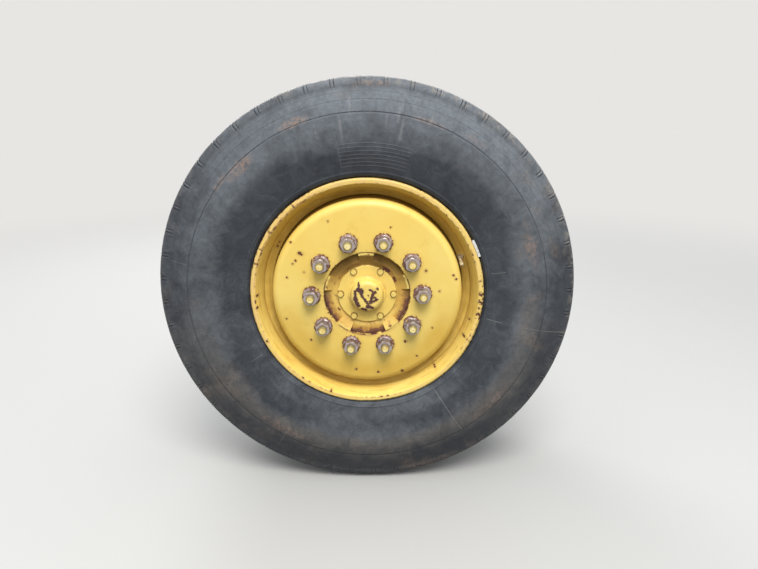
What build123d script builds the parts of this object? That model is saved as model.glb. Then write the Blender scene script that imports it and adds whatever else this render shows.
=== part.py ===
from build123d import *
import os
from math import acos, cos, pi, radians, sin, sqrt, tan

# A wide single wheel of a road-going excavator, with its drum and hub, on a front steering knuckle.
# Millimetres. The kingpin and spindle axes cross at the origin, +Z is up and outboard is -Y.
# In the names and tables, "out" is a distance outboard of the kingpin's axis.
os.makedirs("parts", exist_ok=True)

# Tyre
WHEEL_OUT = 84.0  # kingpin to the tyre's centre plane
TYRE_RADIUS = 536.0
TYRE_WIDTH = 389.0
TREAD_WIDTH = 312.0
CROWN_DROP = 9.0  # from the middle of the tread to its edge
SHOULDER_DEPTH = 24.0
WIDEST_RADIUS = 424.0
TREAD_WALL = 30.0
SIDE_WALL = 15.0
CASING_CORNER = 22.0  # how far the casing's inner corner is cut in
BEAD_GAP = 0.2  # between tyre and rim
BEAD_HEIGHT = 30.0  # above the flange, where the bead joins the wall
BEAD_WIDTH = 22.0  # from the seat's end out, at that height

# Rim
RIM_WIDTH = 311.15  # between the flanges
BEAD_RADIUS = 285.75  # of the seat at the flange
FLANGE_HEIGHT = 12.7  # above that seat
FLANGE_RADIUS = BEAD_RADIUS + FLANGE_HEIGHT
FLANGE_LEAN = 3.0  # of the flange's inner face, over its height
LIP_WIDTH = 14.4  # from the flange's inner face to its outer edge
LIP_FOOT = 13.5  # from the flange's top to the lip's lower corner
LIP_ROUND = 5.5  # radius of the lip's outer corner
SEAT_SLOPE = 15.0
SEAT_LENGTH = 38.0
RIM_WALL = 5.6
WELL_DROP = 29.75  # from the seat at the flange to the well
WELL_RADIUS = BEAD_RADIUS - WELL_DROP
WELL_START = 36.0  # outboard of the centre plane
WELL_END = 102.0
STEP_WIDTH = 13.0  # of the plain band inside the outboard seat's foot
LEDGE_DROP = 17.75
LEDGE_RADIUS = BEAD_RADIUS - LEDGE_DROP  # between the well and the inboard seat
LEDGE_RAMP = 40.0

# Disc
INSET = 144.3  # centre plane to the mounting face
DISC_WALL = 14.0
DISC_BORE = 110.05
DISC_SHOULDER = 37.0  # how far the round shoulder reaches
SKIRT_GAP = 0.2  # between skirt and well
SKIRT_STEP = 4.7  # from the shoulder out to the skirt
DISC_FLAT = WELL_RADIUS - RIM_WALL - SKIRT_GAP - SKIRT_STEP - DISC_SHOULDER  # radius at which the flat face ends
SKIRT_WALL = 8.0
SKIRT_SET = 24.0  # from the shoulder's end to where the skirt meets the well
SKIRT_END = 56.0  # outboard of the centre plane
WELD = 7.0

# Wheel fixings
STUD_COUNT = 10
STUD_CIRCLE = 285.75
STUD_PHASE = 1.0  # angle of the first stud above the +X side
STUD_RADIUS = 11.0
STUD_TIP = 39.0  # beyond the disc's face
STUD_HEAD_RADIUS = 16.0
STUD_HEAD = 8.0
STUD_HOLE = 13.4  # radius through disc and drum
STUD_FIT = 0.05
WASHER_RADIUS = 23.5
WASHER_HEIGHT = 8.0
NUT_FLATS = 33.0
NUT_HEIGHT = 21.0

# Hub
HUB_END = 74.0  # out, of the hub's inboard end
HUB_FLANGE = 20.0
HUB_FLANGE_EDGE = 22.125  # beyond the stud circle
HUB_FLANGE_RADIUS = STUD_CIRCLE / 2 + HUB_FLANGE_EDGE
HUB_BARREL = 76.0
HUB_END_RADIUS = 86.0
HUB_TAPER = 20.0  # past the inner bearing
HUB_CAVITY_END = 22.0  # from the outer bearing
PILOT_RADIUS = 109.9
PILOT_COUNT = 5
PILOT_ARC = 21.0
PILOT_PHASE = 19.0
NOSE_RADIUS = 109.2  # of the ring that carries the pilot pads
PILOT_LAND = 5.0  # width of a pad's end face
POCKET_RADIUS = 87.0  # where a pad's slope starts
POCKET_DEPTH = 10.0  # between the pads, below the disc's face
CAP_STEP = 8.0  # disc face to cap flange face
CAP_FLANGE_RADIUS = 76.0
CAP_FLANGE = 5.0
CAP_GAP = 3.0  # round the cap's flange
CAP_FOOT_RADIUS = 48.0
CAP_FOOT = 3.0  # height of the step round the dome
CAP_DOME_RADIUS = 43.0
CAP_DOME = 27.0
CAP_WALL = 3.0
CAP_BOLTS = 6
CAP_BOLT_CIRCLE = 137.0
CAP_BOLT_RADIUS = 4.0
CAP_BOLT_FLATS = 13.0
CAP_BOLT_HEAD = 5.5
CAP_BOLT_DEPTH = 14.0  # of the thread in the hub

# Drum
DRUM_WEB = 12.0
DRUM_BORE = 110.15
DRUM_EDGE = 5.0  # beyond the hub's flange
DRUM_BORE_FLAT = HUB_FLANGE_RADIUS + DRUM_EDGE  # radius at which the web turns into the bell
DRUM_INNER = 190.5
DRUM_WALL = 13.0
DRUM_DEPTH = 144.0
DRUM_BAND = 16.0
DRUM_BAND_HEIGHT = 8.0

# Bearings and spindle
INNER_JOURNAL = 40.0
INNER_CUP = 65.0
INNER_BEARING = 31.0
OUTER_JOURNAL = 27.5
OUTER_CUP = 50.0
OUTER_BEARING = 24.0
CUP_LIP = 5.0
BEARING_FIT = 0.05
SEAL_JOURNAL = 48.0
SEAL_SEAT = 70.0
SEAL_WIDTH = 10.0
SEAL_GAP = 0.3
SPINDLE_ROOT = 58.0
THREAD_RADIUS = 22.5
SPINDLE_NUT_FLATS = 65.0
SPINDLE_NUT = 15.0
SPINDLE_WASHER = 3.0
END_PLAY = 0.5

# Knuckle
KINGPIN_RADIUS = 24.0
BUSH_WALL = 3.0
BOSS_RADIUS = 42.0
YOKE_GAP = 88.0
EAR = 36.0
EAR_ROOT = 124.0  # width where an ear meets the flange
YOKE_DEPTH = 46.0  # kingpin to the flange's inner face
KNUCKLE_FLANGE = 20.0
KNUCKLE_FLANGE_RADIUS = 92.0
SHIELD_WALL = 2.5
SHIELD_LIP = 212.0
SHIELD_FLAT = 198.0
SHIELD_TURN = 8.5
SHIELD_BOLT_CIRCLE = 152.0
SHIELD_BOLT_ANGLES = (-25.0, 0.0, 25.0, 155.0, 180.0, 205.0)
SHIELD_BOLT_RADIUS = 6.0
SHIELD_BOLT_FLATS = 18.0
SHIELD_BOLT_HEAD = 7.5

# Arms
ARM_PAD = 60.0  # x of the pads that carry the arms' feet
ARM_FOOT = 16.0
ARM_FOOT_LENGTH = 84.0
ARM_FOOT_BACK = 2.0  # of the foot's middle, outboard of the kingpin
ARM_ROOT = 26.0
ARM_NECK = 26.0  # straight length before the bend
ARM_HEIGHT = 26.0
EYE_RADIUS = 26.0
EYE_HEIGHT = 38.0
EYE_BORE = 12.5
STEERING_EYE = (168.0, 84.0)  # x and y
TIE_ROD_EYE = (192.0, 62.0)
ARM_BOLT_SPACING = 58.0
ARM_BOLT_RADIUS = 8.0
ARM_BOLT_FLATS = 22.0
ARM_BOLT_HEAD = 10.0
ARM_BOLT_DEPTH = 24.0  # of the thread in the ear

# Brake gear behind the shield
CAM_PLACE = (-86.0, 122.0)  # x and z of the camshaft
CAM_RADIUS = 19.0
CAM_GAP = 0.3
CAM_TIP = 12.0  # past the shield
CAM_BOSS_RADIUS = 36.0
CAM_TUBE_WALL = 6.0
CAM_END = 12.0  # past the slack adjuster
SLACK_LENGTH = 127.0
SLACK_BOSS = 34.0
SLACK_WIDTH = 34.0
SLACK_ARM = 15.0
SLACK_EYE = 16.0
WORM_RADIUS = 13.0
WORM_LENGTH = 62.0
PIN_RADIUS = 7.0
FORK_WALL = 6.0
FORK_HEIGHT = 28.0
FORK_LENGTH = 26.0  # from the pin to the rod
ROD_RADIUS = 8.0
CHAMBER_RADIUS = 76.0
CHAMBER_CLAMP = 5.0
CHAMBER_LENGTH = 108.0
CHAMBER_STUD_SPACING = 76.0
WEB_SET = 26.0  # from the nearer stud to the bracket's web
CHAMBER_REACH = 64.0  # from the slack adjuster's pin to the chamber's face
PORT_RADIUS = 10.0
PORT_HEIGHT = 9.0
BRACKET_WALL = 10.0
BRACKET_FACE = 74.0  # height of the plate that carries the chamber
ROLL_GAP = 8.0  # between the tyre and the chamber

# Small pieces
VALVE_ANGLE = 20.5
VALVE_RADIUS = 4.0
VALVE_BEND = 9.0  # from the rim's wall to the bend
VALVE_LENGTH = 27.0  # from the bend to the cap
VALVE_LEAN = 32.0  # of the stem's end, round the wheel
VALVE_CAP = 5.0
WEIGHT_ANGLE = 24.5
WEIGHT_ARC = 8.6
WEIGHT_PROUD = 1.0  # beyond the lip's face
WEIGHT_HEIGHT = 5.0  # above the flange
WEIGHT_LAP = 1.8  # down the lip's round corner

# Places worked out from the sizes above, as distances outboard of the kingpin
mount_face = WHEEL_OUT + INSET
disc_face = mount_face + DISC_WALL
hub_face = mount_face - DRUM_WEB
hub_back = hub_face - HUB_FLANGE
cap_face = disc_face - CAP_STEP
cap_seat = cap_face - CAP_FLANGE
nut_face = disc_face + WASHER_HEIGHT
knuckle_face = YOKE_DEPTH + KNUCKLE_FLANGE
seal_out = HUB_END + 1.0
inner_bearing_out = seal_out + SEAL_WIDTH + 4.0
outer_bearing_out = cap_seat - 17.0 - OUTER_BEARING
thread_out = outer_bearing_out + OUTER_BEARING + END_PLAY
chamber_y = TYRE_WIDTH / 2 - WHEEL_OUT + ROLL_GAP + CHAMBER_RADIUS + CHAMBER_CLAMP
pin_z = CAM_PLACE[1] + SLACK_LENGTH
chamber_face = CAM_PLACE[0] + CHAMBER_REACH
stud_angles = [STUD_PHASE + 360.0 / STUD_COUNT * i for i in range(STUD_COUNT)]
cap_bolt_angles = [360.0 / CAP_BOLTS * i for i in range(CAP_BOLTS)]
half_rim = RIM_WIDTH / 2
seat_end = half_rim - SEAT_LENGTH
seat_foot = BEAD_RADIUS - SEAT_LENGTH * tan(radians(SEAT_SLOPE))
rim_edge = half_rim + LIP_WIDTH

SPIN = Axis((0, 0, 0), (0, -1, 0))


def outline(rows):
    """A closed face from rows of x, y and corner radius, no corner rounder than its sides allow."""
    points = [Vector(x, y) for x, y, _ in rows]
    starts, stops, mids = [], [], []
    for i, (_, _, radius) in enumerate(rows):
        here = points[i]
        back = points[i - 1] - here
        ahead = points[(i + 1) % len(rows)] - here
        turn = pi - acos(max(-1.0, min(1.0, back.normalized().dot(ahead.normalized()))))
        reach = min(radius * tan(turn / 2), 0.49 * back.length, 0.49 * ahead.length)
        if turn < 0.01 or reach < 0.01:
            starts.append(here)
            stops.append(here)
            mids.append(None)
            continue
        round_ = reach / tan(turn / 2)
        inward = (back.normalized() + ahead.normalized()).normalized()
        starts.append(here + back.normalized() * reach)
        stops.append(here + ahead.normalized() * reach)
        mids.append(here + inward * (sqrt(reach**2 + round_**2) - round_))
    edges = []
    for i in range(len(rows)):
        if mids[i] is not None:
            edges.append(ThreePointArc(starts[i], mids[i], stops[i]))
        edges.append(Line(stops[i], starts[(i + 1) % len(rows)]))
    return make_face(edges)


def turned(rows, arc=360.0, start=0.0):
    """A body turned about the spindle axis, from rows of radius, out and corner radius."""
    face = outline([(radius, -out, corner) for radius, out, corner in rows])
    return revolve(face, SPIN, revolution_arc=arc).rotate(SPIN, start)


def spun(rows):
    """A body turned about Z, from rows of radius, height and corner radius."""
    return revolve(Plane.XZ * outline(rows), Axis.Z)


def stand(piece, radius, angle, out):
    """Stands a piece made along +Z on the face at this place, pointing outboard."""
    across = Vector(cos(radians(angle)), 0, sin(radians(angle)))
    return Plane(across * radius + Vector(0, -out, 0), x_dir=across, z_dir=(0, -1, 0)) * piece


def ring(piece, radius, angles, out):
    return [stand(piece, radius, angle, out) for angle in angles]


def drill(body, radius, circle, angles, start, end):
    """Cuts a ring of holes parallel to the spindle, from one place out to another."""
    for hole in ring(Cylinder(radius, end - start, align=(Align.CENTER, Align.CENTER, Align.MIN)),
                     circle / 2, angles, start):
        body -= hole
    return body


def hex_head(flats, height, bore=0.0):
    """A hexagon with its corners turned off at the top."""
    head = extrude(RegularPolygon(flats / 2, 6, major_radius=False), height)
    corner = flats / 2 / cos(pi / 6)
    bevel = corner - flats / 2
    head &= spun([(0, 0, 0), (corner, 0, 0), (corner, height - bevel / 2, 0), (flats / 2, height, 0),
                  (0, height, 0)])
    return head - Cylinder(bore, 3 * height) if bore else head


def save(node, *solids):
    shape = solids[0] if len(solids) == 1 else Compound(list(solids))
    export_step(shape, f"parts/{node}.step")


def make_tyre():
    """A hollow casing: round tread, sidewalls and two beads that sit on the rim's seats."""
    def at(radius, across):
        return (radius, across - WHEEL_OUT)

    tread_edge = TYRE_RADIUS - CROWN_DROP
    half_tread = TREAD_WIDTH / 2
    half = TYRE_WIDTH / 2
    under = TYRE_RADIUS - TREAD_WALL
    toe = seat_foot + BEAD_GAP + 0.5
    over_flange = FLANGE_RADIUS + BEAD_GAP
    shoulder = (tread_edge - SHOULDER_DEPTH, half_tread + 0.42 * (half - half_tread))
    edges = [ThreePointArc(at(tread_edge, -half_tread), at(TYRE_RADIUS, 0), at(tread_edge, half_tread))]
    edges.append(ThreePointArc(at(under - 4, CASING_CORNER - half_tread), at(under, 0),
                               at(under - 4, half_tread - CASING_CORNER)))
    for side in (-1, 1):
        # radius and distance from the centre plane, the middle point of each arc between its ends
        outside = [
            (tread_edge, half_tread),
            (tread_edge - 0.3 * SHOULDER_DEPTH, half_tread + 0.3 * (half - half_tread)),
            shoulder,
            (0.45 * shoulder[0] + 0.55 * WIDEST_RADIUS, half_tread + 0.84 * (half - half_tread)),
            (WIDEST_RADIUS, half),
            (0.5 * (WIDEST_RADIUS + over_flange), half - 6),
            (over_flange + 11, half_rim + 18),
        ]
        inside = [
            (under - 4, half_tread - CASING_CORNER),
            (under - CASING_CORNER, half_tread - 4),
            (under - 2 * CASING_CORNER, half_tread + 7),
            (0.5 * (under - 2 * CASING_CORNER + WIDEST_RADIUS), half - SIDE_WALL - 3),
            (WIDEST_RADIUS, half - SIDE_WALL),
            (0.5 * (WIDEST_RADIUS + over_flange + BEAD_HEIGHT), half - SIDE_WALL - 9),
            (over_flange + BEAD_HEIGHT, seat_end + BEAD_WIDTH),
        ]
        bead = [
            outside[-1],
            (over_flange + 2, half_rim + 9),
            (over_flange - 2.0, half_rim + FLANGE_LEAN - 1.0 - BEAD_GAP),
            (BEAD_RADIUS + 7, half_rim + 0.8 - BEAD_GAP),
            (BEAD_RADIUS + 0.5, half_rim - 5),
            (toe, seat_end + 1),
            (toe + 5, seat_end - 2),
            inside[-1],
        ]
        for rows in (outside, inside):
            for i in range(0, len(rows) - 1, 2):
                edges.append(ThreePointArc(*[at(r, side * u) for r, u in rows[i:i + 3]]))
        for a, b in zip(bead, bead[1:]):
            edges.append(Line(at(a[0], side * a[1]), at(b[0], side * b[1])))
    return revolve(make_face(edges), SPIN)


def rim_rows():
    """The rim's section: radius, distance outboard of the centre plane, corner radius."""
    lip = (FLANGE_RADIUS - LIP_FOOT, rim_edge - 1.0, 2.5)
    top = (FLANGE_RADIUS, rim_edge, LIP_ROUND)
    edge = (FLANGE_RADIUS, half_rim + FLANGE_LEAN, 5.0)
    heel = (BEAD_RADIUS, half_rim, 6.0)
    foot = (seat_foot, seat_end, 8.0)
    air = [lip, top, edge, heel, foot,
           (WELL_RADIUS, WELL_END, 10.0),
           (WELL_RADIUS, WELL_START, 14.0),
           (LEDGE_RADIUS, WELL_START - LEDGE_RAMP, 16.0)]
    air += [(r, -u, c) for r, u, c in (foot, heel, edge, top, lip)]
    step = seat_foot - RIM_WALL
    hub = [(BEAD_RADIUS - RIM_WALL, -half_rim - 2.0, 6.0),
           (seat_foot - RIM_WALL, -seat_end, 20.0),
           (LEDGE_RADIUS - RIM_WALL, WELL_START - LEDGE_RAMP, 16.0),
           (WELL_RADIUS - RIM_WALL, WELL_START, 14.0),
           (WELL_RADIUS - RIM_WALL, WELL_END + 2.5, 8.0),
           (step, seat_end + 1.5, 3.0),
           (step + 1.2, seat_end + STEP_WIDTH, 4.0),
           (BEAD_RADIUS - RIM_WALL, half_rim + 2.0, 6.0)]
    return air + hub


def valve_seat():
    """Middle of the well's outboard wall and the way out of it, for a valve on the +X side."""
    rise = seat_foot - WELL_RADIUS
    run = seat_end - WELL_END - 1.0
    middle = Vector(WELL_RADIUS - RIM_WALL + rise / 2, -WHEEL_OUT - WELL_END - 2.5 - run / 2)
    return middle, Vector(-run, -rise).normalized()


def make_rim():
    rim = turned([(r, WHEEL_OUT + u, c) for r, u, c in rim_rows()])
    middle, way = valve_seat()
    hole = Plane(middle, z_dir=way) * Cylinder(VALVE_RADIUS + STUD_FIT, 8 * RIM_WALL)
    return rim - hole.rotate(SPIN, VALVE_ANGLE)


def make_disc():
    """Flat centre, round shoulder and a skirt that is welded into the rim's well."""
    skirt = WELL_RADIUS - RIM_WALL - SKIRT_GAP
    corner = DISC_FLAT + DISC_SHOULDER
    shoulder_end = disc_face - DISC_SHOULDER
    skirt_end = WHEEL_OUT + SKIRT_END
    rows = [
        (DISC_BORE, mount_face, 1.0),
        (DISC_BORE, disc_face, 2.5),
        (corner, disc_face, DISC_SHOULDER),
        (corner, shoulder_end - 2.0, 20.0),
        (skirt, shoulder_end - SKIRT_SET, 20.0),
        (skirt, skirt_end, 1.0),
        (skirt - SKIRT_WALL, skirt_end, 1.0),
        (skirt - SKIRT_WALL, shoulder_end - SKIRT_SET, 20.0),
        (corner - 10.0, shoulder_end - 2.0, 20.0),
        (corner - DISC_WALL + 1.0, mount_face, DISC_SHOULDER - DISC_WALL),
    ]
    weld = turned([(skirt, skirt_end - WELD, 0), (skirt, skirt_end + 1, 0),
                   (skirt - SKIRT_WALL, skirt_end + 1, 0), (skirt - SKIRT_WALL + 1, skirt_end, 0)])
    disc = turned(rows) + weld
    return drill(disc, STUD_HOLE, STUD_CIRCLE, stud_angles, mount_face - 1, disc_face + 1)


def make_valve():
    """A bent stem that leaves the well's wall and turns to lie along the disc's edge."""
    root, way = valve_seat()
    start = root - way * RIM_WALL
    knee = root + way * VALVE_BEND
    lie = Vector(-0.03, -cos(radians(VALVE_LEAN)), -sin(radians(VALVE_LEAN))).normalized()
    tip = knee + lie * VALVE_LENGTH
    path = FilletPolyline(start, knee, tip, radius=VALVE_BEND / 2)
    stem = sweep(Plane(start, z_dir=way) * Circle(VALVE_RADIUS), path=path)
    seat = Plane(root + way * 0.3, z_dir=way) * Cylinder(
        2 * VALVE_RADIUS, 5.0, align=(Align.CENTER, Align.CENTER, Align.MIN))
    cap = Plane(tip, z_dir=lie) * spun([(0, -9, 0), (VALVE_CAP, -9, 1), (VALVE_CAP, 3, 1.5), (0, 3, 0)])
    return (stem + seat + cap).rotate(SPIN, VALVE_ANGLE)


def make_weight():
    """A strip on the flange's edge, beside the tyre, that follows the lip's round corner."""
    face = WHEEL_OUT + rim_edge
    foot = FLANGE_RADIUS + 0.1
    bend = face + 0.25 - LIP_ROUND * (1 - tan(pi / 8))
    rows = [
        (foot, face - 0.95 * LIP_ROUND, 0),
        (foot, bend, 0),
        (foot - WEIGHT_LAP, bend + WEIGHT_LAP, 0),
        (foot - WEIGHT_LAP, face + WEIGHT_PROUD, 1.0),
        (foot + WEIGHT_HEIGHT, face + WEIGHT_PROUD, 1.0),
        (foot + WEIGHT_HEIGHT, face - 1.8, 0.5),
    ]
    return turned(rows, WEIGHT_ARC, WEIGHT_ANGLE - WEIGHT_ARC / 2)


def make_hub():
    """Barrel with two bearing seats, bolting flange and sloping pilot pads round the cap's seat."""
    inner_end = inner_bearing_out + INNER_BEARING + 1.0
    outer_start = outer_bearing_out - 1.0
    floor = disc_face - POCKET_DEPTH
    rows = [
        (SEAL_SEAT, HUB_END, 1.0),
        (HUB_END_RADIUS, HUB_END, 4.0),
        (HUB_END_RADIUS, inner_end, 14.0),
        (HUB_BARREL, inner_end + HUB_TAPER, 24.0),
        (HUB_BARREL + 4.0, hub_back, 18.0),
        (HUB_FLANGE_RADIUS, hub_back, 3.0),
        (HUB_FLANGE_RADIUS, hub_face, 3.0),
        (NOSE_RADIUS, hub_face, 0.0),
        (NOSE_RADIUS, floor, 1.5),
        (POCKET_RADIUS, floor, 2.0),
        (CAP_FLANGE_RADIUS + CAP_GAP, cap_seat, 1.0),
        (OUTER_CUP + 1.0, cap_seat, 1.0),
        (OUTER_CUP, outer_bearing_out + OUTER_BEARING, 0.0),
        (OUTER_CUP, outer_start, 0.0),
        (OUTER_CUP - CUP_LIP, outer_start, 1.0),
        (OUTER_CUP - CUP_LIP, outer_start - 8.0, 4.0),
        (INNER_CUP - 2 * CUP_LIP, outer_start - HUB_CAVITY_END, 8.0),
        (INNER_CUP - 2 * CUP_LIP, inner_end + 4.0, 4.0),
        (INNER_CUP - CUP_LIP, inner_end, 1.0),
        (INNER_CUP, inner_end, 0.0),
        (INNER_CUP, seal_out + SEAL_WIDTH + 1.0, 0.0),
        (SEAL_SEAT, seal_out + SEAL_WIDTH + 1.0, 0.0),
    ]
    hub = turned(rows)
    for i in range(PILOT_COUNT):
        hub += turned(
            [(NOSE_RADIUS - 1, hub_face - 1, 0), (PILOT_RADIUS, hub_face - 1, 0),
             (PILOT_RADIUS, disc_face, 1.0), (PILOT_RADIUS - PILOT_LAND, disc_face, 1.0),
             (POCKET_RADIUS, floor, 0), (POCKET_RADIUS, floor - 1, 0), (NOSE_RADIUS - 1, floor - 1, 0)],
            PILOT_ARC, PILOT_PHASE + 360.0 / PILOT_COUNT * i - PILOT_ARC / 2)
    hub = drill(hub, STUD_RADIUS + STUD_FIT, STUD_CIRCLE, stud_angles, hub_back - 1, hub_face + 1)
    return drill(hub, CAP_BOLT_RADIUS + STUD_FIT, CAP_BOLT_CIRCLE, cap_bolt_angles,
                 cap_seat - CAP_BOLT_DEPTH - 1, cap_seat + 1)


def make_drum():
    bell = DRUM_INNER + DRUM_WALL
    open_end = mount_face - DRUM_DEPTH
    rows = [
        (DRUM_BORE, hub_face, 0.5),
        (DRUM_BORE, mount_face, 0.5),
        (DRUM_BORE_FLAT, mount_face, 8.0),
        (bell, mount_face - 24.0, 26.0),
        (bell, open_end + DRUM_BAND + 8.0, 6.0),
        (bell + DRUM_BAND_HEIGHT, open_end + DRUM_BAND, 3.0),
        (bell + DRUM_BAND_HEIGHT, open_end, 2.0),
        (DRUM_INNER, open_end, 1.5),
        (DRUM_INNER, mount_face - 34.0, 14.0),
        (DRUM_BORE_FLAT - 3.0, hub_face, 8.0),
    ]
    return drill(turned(rows), STUD_HOLE, STUD_CIRCLE, stud_angles, hub_face - 1, mount_face + 1)


def make_studs():
    length = disc_face + STUD_TIP - hub_back
    stud = spun([
        (0, -STUD_HEAD, 0), (STUD_HEAD_RADIUS, -STUD_HEAD, 2), (STUD_HEAD_RADIUS, 0, 0),
        (STUD_RADIUS, 0, 0), (STUD_RADIUS, length - 1.8, 0), (STUD_RADIUS - 1.8, length, 0), (0, length, 0)])
    return ring(stud, STUD_CIRCLE / 2, stud_angles, hub_back)


def make_washers():
    bore = STUD_RADIUS + STUD_FIT
    corner = NUT_FLATS / 2 / cos(pi / 6)
    washer = spun([(bore, 0, 0), (WASHER_RADIUS, 0, 1), (WASHER_RADIUS, 0.45 * WASHER_HEIGHT, 1.5),
                   (corner + 0.5, WASHER_HEIGHT, 1.5), (bore, WASHER_HEIGHT, 0)])
    return ring(washer, STUD_CIRCLE / 2, stud_angles, disc_face)


def make_cap():
    """A flanged cap with a step and a round dome over the spindle's end."""
    dome = CAP_FLANGE + CAP_DOME
    step = CAP_FLANGE + CAP_FOOT
    cap = spun([
        (CAP_FOOT_RADIUS - CAP_WALL, 0, 0), (CAP_FLANGE_RADIUS, 0, 0.8), (CAP_FLANGE_RADIUS, CAP_FLANGE, 1.5),
        (CAP_FOOT_RADIUS, CAP_FLANGE, 2.0), (CAP_FOOT_RADIUS - 1.0, step, 2.0),
        (CAP_DOME_RADIUS, step + 0.5, 3.0), (CAP_DOME_RADIUS - 2.0, dome, 15.0), (0, dome, 0),
        (0, dome - CAP_WALL, 0), (CAP_DOME_RADIUS - 2.0 - CAP_WALL, dome - CAP_WALL, 12.0),
        (CAP_DOME_RADIUS - CAP_WALL, CAP_FLANGE, 2.0)])
    return drill(stand(cap, 0, 0, cap_seat), CAP_BOLT_RADIUS + STUD_FIT, CAP_BOLT_CIRCLE, cap_bolt_angles,
                 cap_seat - 1, cap_face + 1)


def make_cap_bolts():
    head = hex_head(CAP_BOLT_FLATS, CAP_BOLT_HEAD)
    thread = Cylinder(CAP_BOLT_RADIUS, CAP_FLANGE + CAP_BOLT_DEPTH,
                      align=(Align.CENTER, Align.CENTER, Align.MAX))
    return ring(head + thread, CAP_BOLT_CIRCLE / 2, cap_bolt_angles, cap_face)


def make_bearing(journal, cup, width, out):
    inner = journal + BEARING_FIT
    outer = cup - BEARING_FIT
    return turned([(inner, out, 1), (outer, out, 1), (outer, out + width, 1), (inner, out + width, 1)])


def make_seal():
    inner = SEAL_JOURNAL + SEAL_GAP
    outer = SEAL_SEAT - BEARING_FIT
    end = seal_out + SEAL_WIDTH
    return turned([(inner, seal_out, 1), (outer, seal_out, 1), (outer, end, 1), (inner, end, 1)])


def cam_pin(radius, start, end):
    """A cylinder on the camshaft's axis, between two places along Y."""
    x, z = CAM_PLACE
    low = min(start, end)
    return Plane((x, low, z), x_dir=(1, 0, 0), z_dir=(0, 1, 0)) * Cylinder(
        radius, abs(end - start), align=(Align.CENTER, Align.CENTER, Align.MIN))


def make_knuckle():
    """Two ears round the kingpin, a flange for shield and brake, and the stepped spindle."""
    inner_stop = inner_bearing_out - 1.0
    inner_end = inner_bearing_out + INNER_BEARING + 2.0
    outer_start = outer_bearing_out - 1.0
    rows = [
        (0, YOKE_DEPTH, 0),
        (KNUCKLE_FLANGE_RADIUS, YOKE_DEPTH, 4),
        (KNUCKLE_FLANGE_RADIUS, knuckle_face, 2),
        (SPINDLE_ROOT, knuckle_face, 1),
        (SEAL_JOURNAL, HUB_END - 2.0, 4),
        (SEAL_JOURNAL, inner_stop, 1.5),
        (INNER_JOURNAL, inner_stop, 0),
        (INNER_JOURNAL, inner_end, 1.5),
        (OUTER_JOURNAL + 2.0, outer_start, 3),
        (OUTER_JOURNAL, outer_start, 0),
        (OUTER_JOURNAL, thread_out, 1),
        (THREAD_RADIUS, thread_out, 0),
        (THREAD_RADIUS, thread_out + SPINDLE_WASHER + SPINDLE_NUT + 5.0, 2),
        (0, thread_out + SPINDLE_WASHER + SPINDLE_NUT + 5.0, 0),
    ]
    knuckle = turned(rows)
    x, z = CAM_PLACE
    boss = Pos(x, z) * Circle(CAM_BOSS_RADIUS)
    horn = make_hull([*Circle(0.7 * KNUCKLE_FLANGE_RADIUS).edges(), *boss.edges()])
    knuckle += stand(extrude(horn, KNUCKLE_FLANGE), 0, 0, YOKE_DEPTH)
    knuckle -= cam_pin(CAM_RADIUS + CAM_TUBE_WALL, -YOKE_DEPTH, -knuckle_face - 1)
    root = -YOKE_DEPTH - KNUCKLE_FLANGE / 2
    half = EAR_ROOT / 2
    plan = make_hull([*Circle(BOSS_RADIUS).edges(), *Line((-half, root), (half, root)).edges()])
    ear = extrude(plan, EAR)
    ear = fillet(ear.edges().group_by(Axis.Z)[-1], 6)
    pad = Box(ARM_PAD - BOSS_RADIUS / 2, ARM_FOOT_LENGTH, EAR - 4,
              align=(Align.MAX, Align.CENTER, Align.MIN)).moved(Location((ARM_PAD, -ARM_FOOT_BACK, 2)))
    ear = ear + fillet(pad.edges().filter_by(Axis.X), 5)
    upper = ear.moved(Location((0, 0, YOKE_GAP / 2)))
    knuckle += upper
    knuckle += upper.mirror(Plane.XY)
    knuckle -= Cylinder(KINGPIN_RADIUS + BUSH_WALL, 2 * EAR + YOKE_GAP + 2)
    for side in (-1, 1):
        for hole in arm_bolt_places(side):
            knuckle -= hole * Cylinder(ARM_BOLT_RADIUS + STUD_FIT, ARM_BOLT_DEPTH + 1,
                                       align=(Align.CENTER, Align.CENTER, Align.MAX))
    return drill(knuckle, SHIELD_BOLT_RADIUS + STUD_FIT, SHIELD_BOLT_CIRCLE, SHIELD_BOLT_ANGLES,
                 YOKE_DEPTH - 1, knuckle_face + 1)


def make_bush(side):
    outer = KINGPIN_RADIUS + BUSH_WALL
    bush = spun([(KINGPIN_RADIUS, 0, 0.5), (outer, 0, 0), (outer, EAR, 0), (KINGPIN_RADIUS, EAR, 0.5)])
    bush = bush.moved(Location((0, 0, YOKE_GAP / 2)))
    return bush if side > 0 else bush.mirror(Plane.XY)


def make_shield():
    """A pressed plate on the knuckle's flange, its edge turned towards the drum."""
    start, end = knuckle_face, knuckle_face + SHIELD_WALL
    rows = [
        (SPINDLE_ROOT + 1.0, start, 0), (SHIELD_FLAT, start, 4), (SHIELD_LIP, start + SHIELD_TURN, 2),
        (SHIELD_LIP - 1.0, end + SHIELD_TURN, 1), (SHIELD_FLAT - 1.5, end, 4), (SPINDLE_ROOT + 1.0, end, 0)]
    shield = turned(rows) - cam_pin(CAM_RADIUS + 2.0, 1 - start, -1 - end)
    return drill(shield, SHIELD_BOLT_RADIUS + STUD_FIT, SHIELD_BOLT_CIRCLE, SHIELD_BOLT_ANGLES,
                 start - 1, end + 1)


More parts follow.
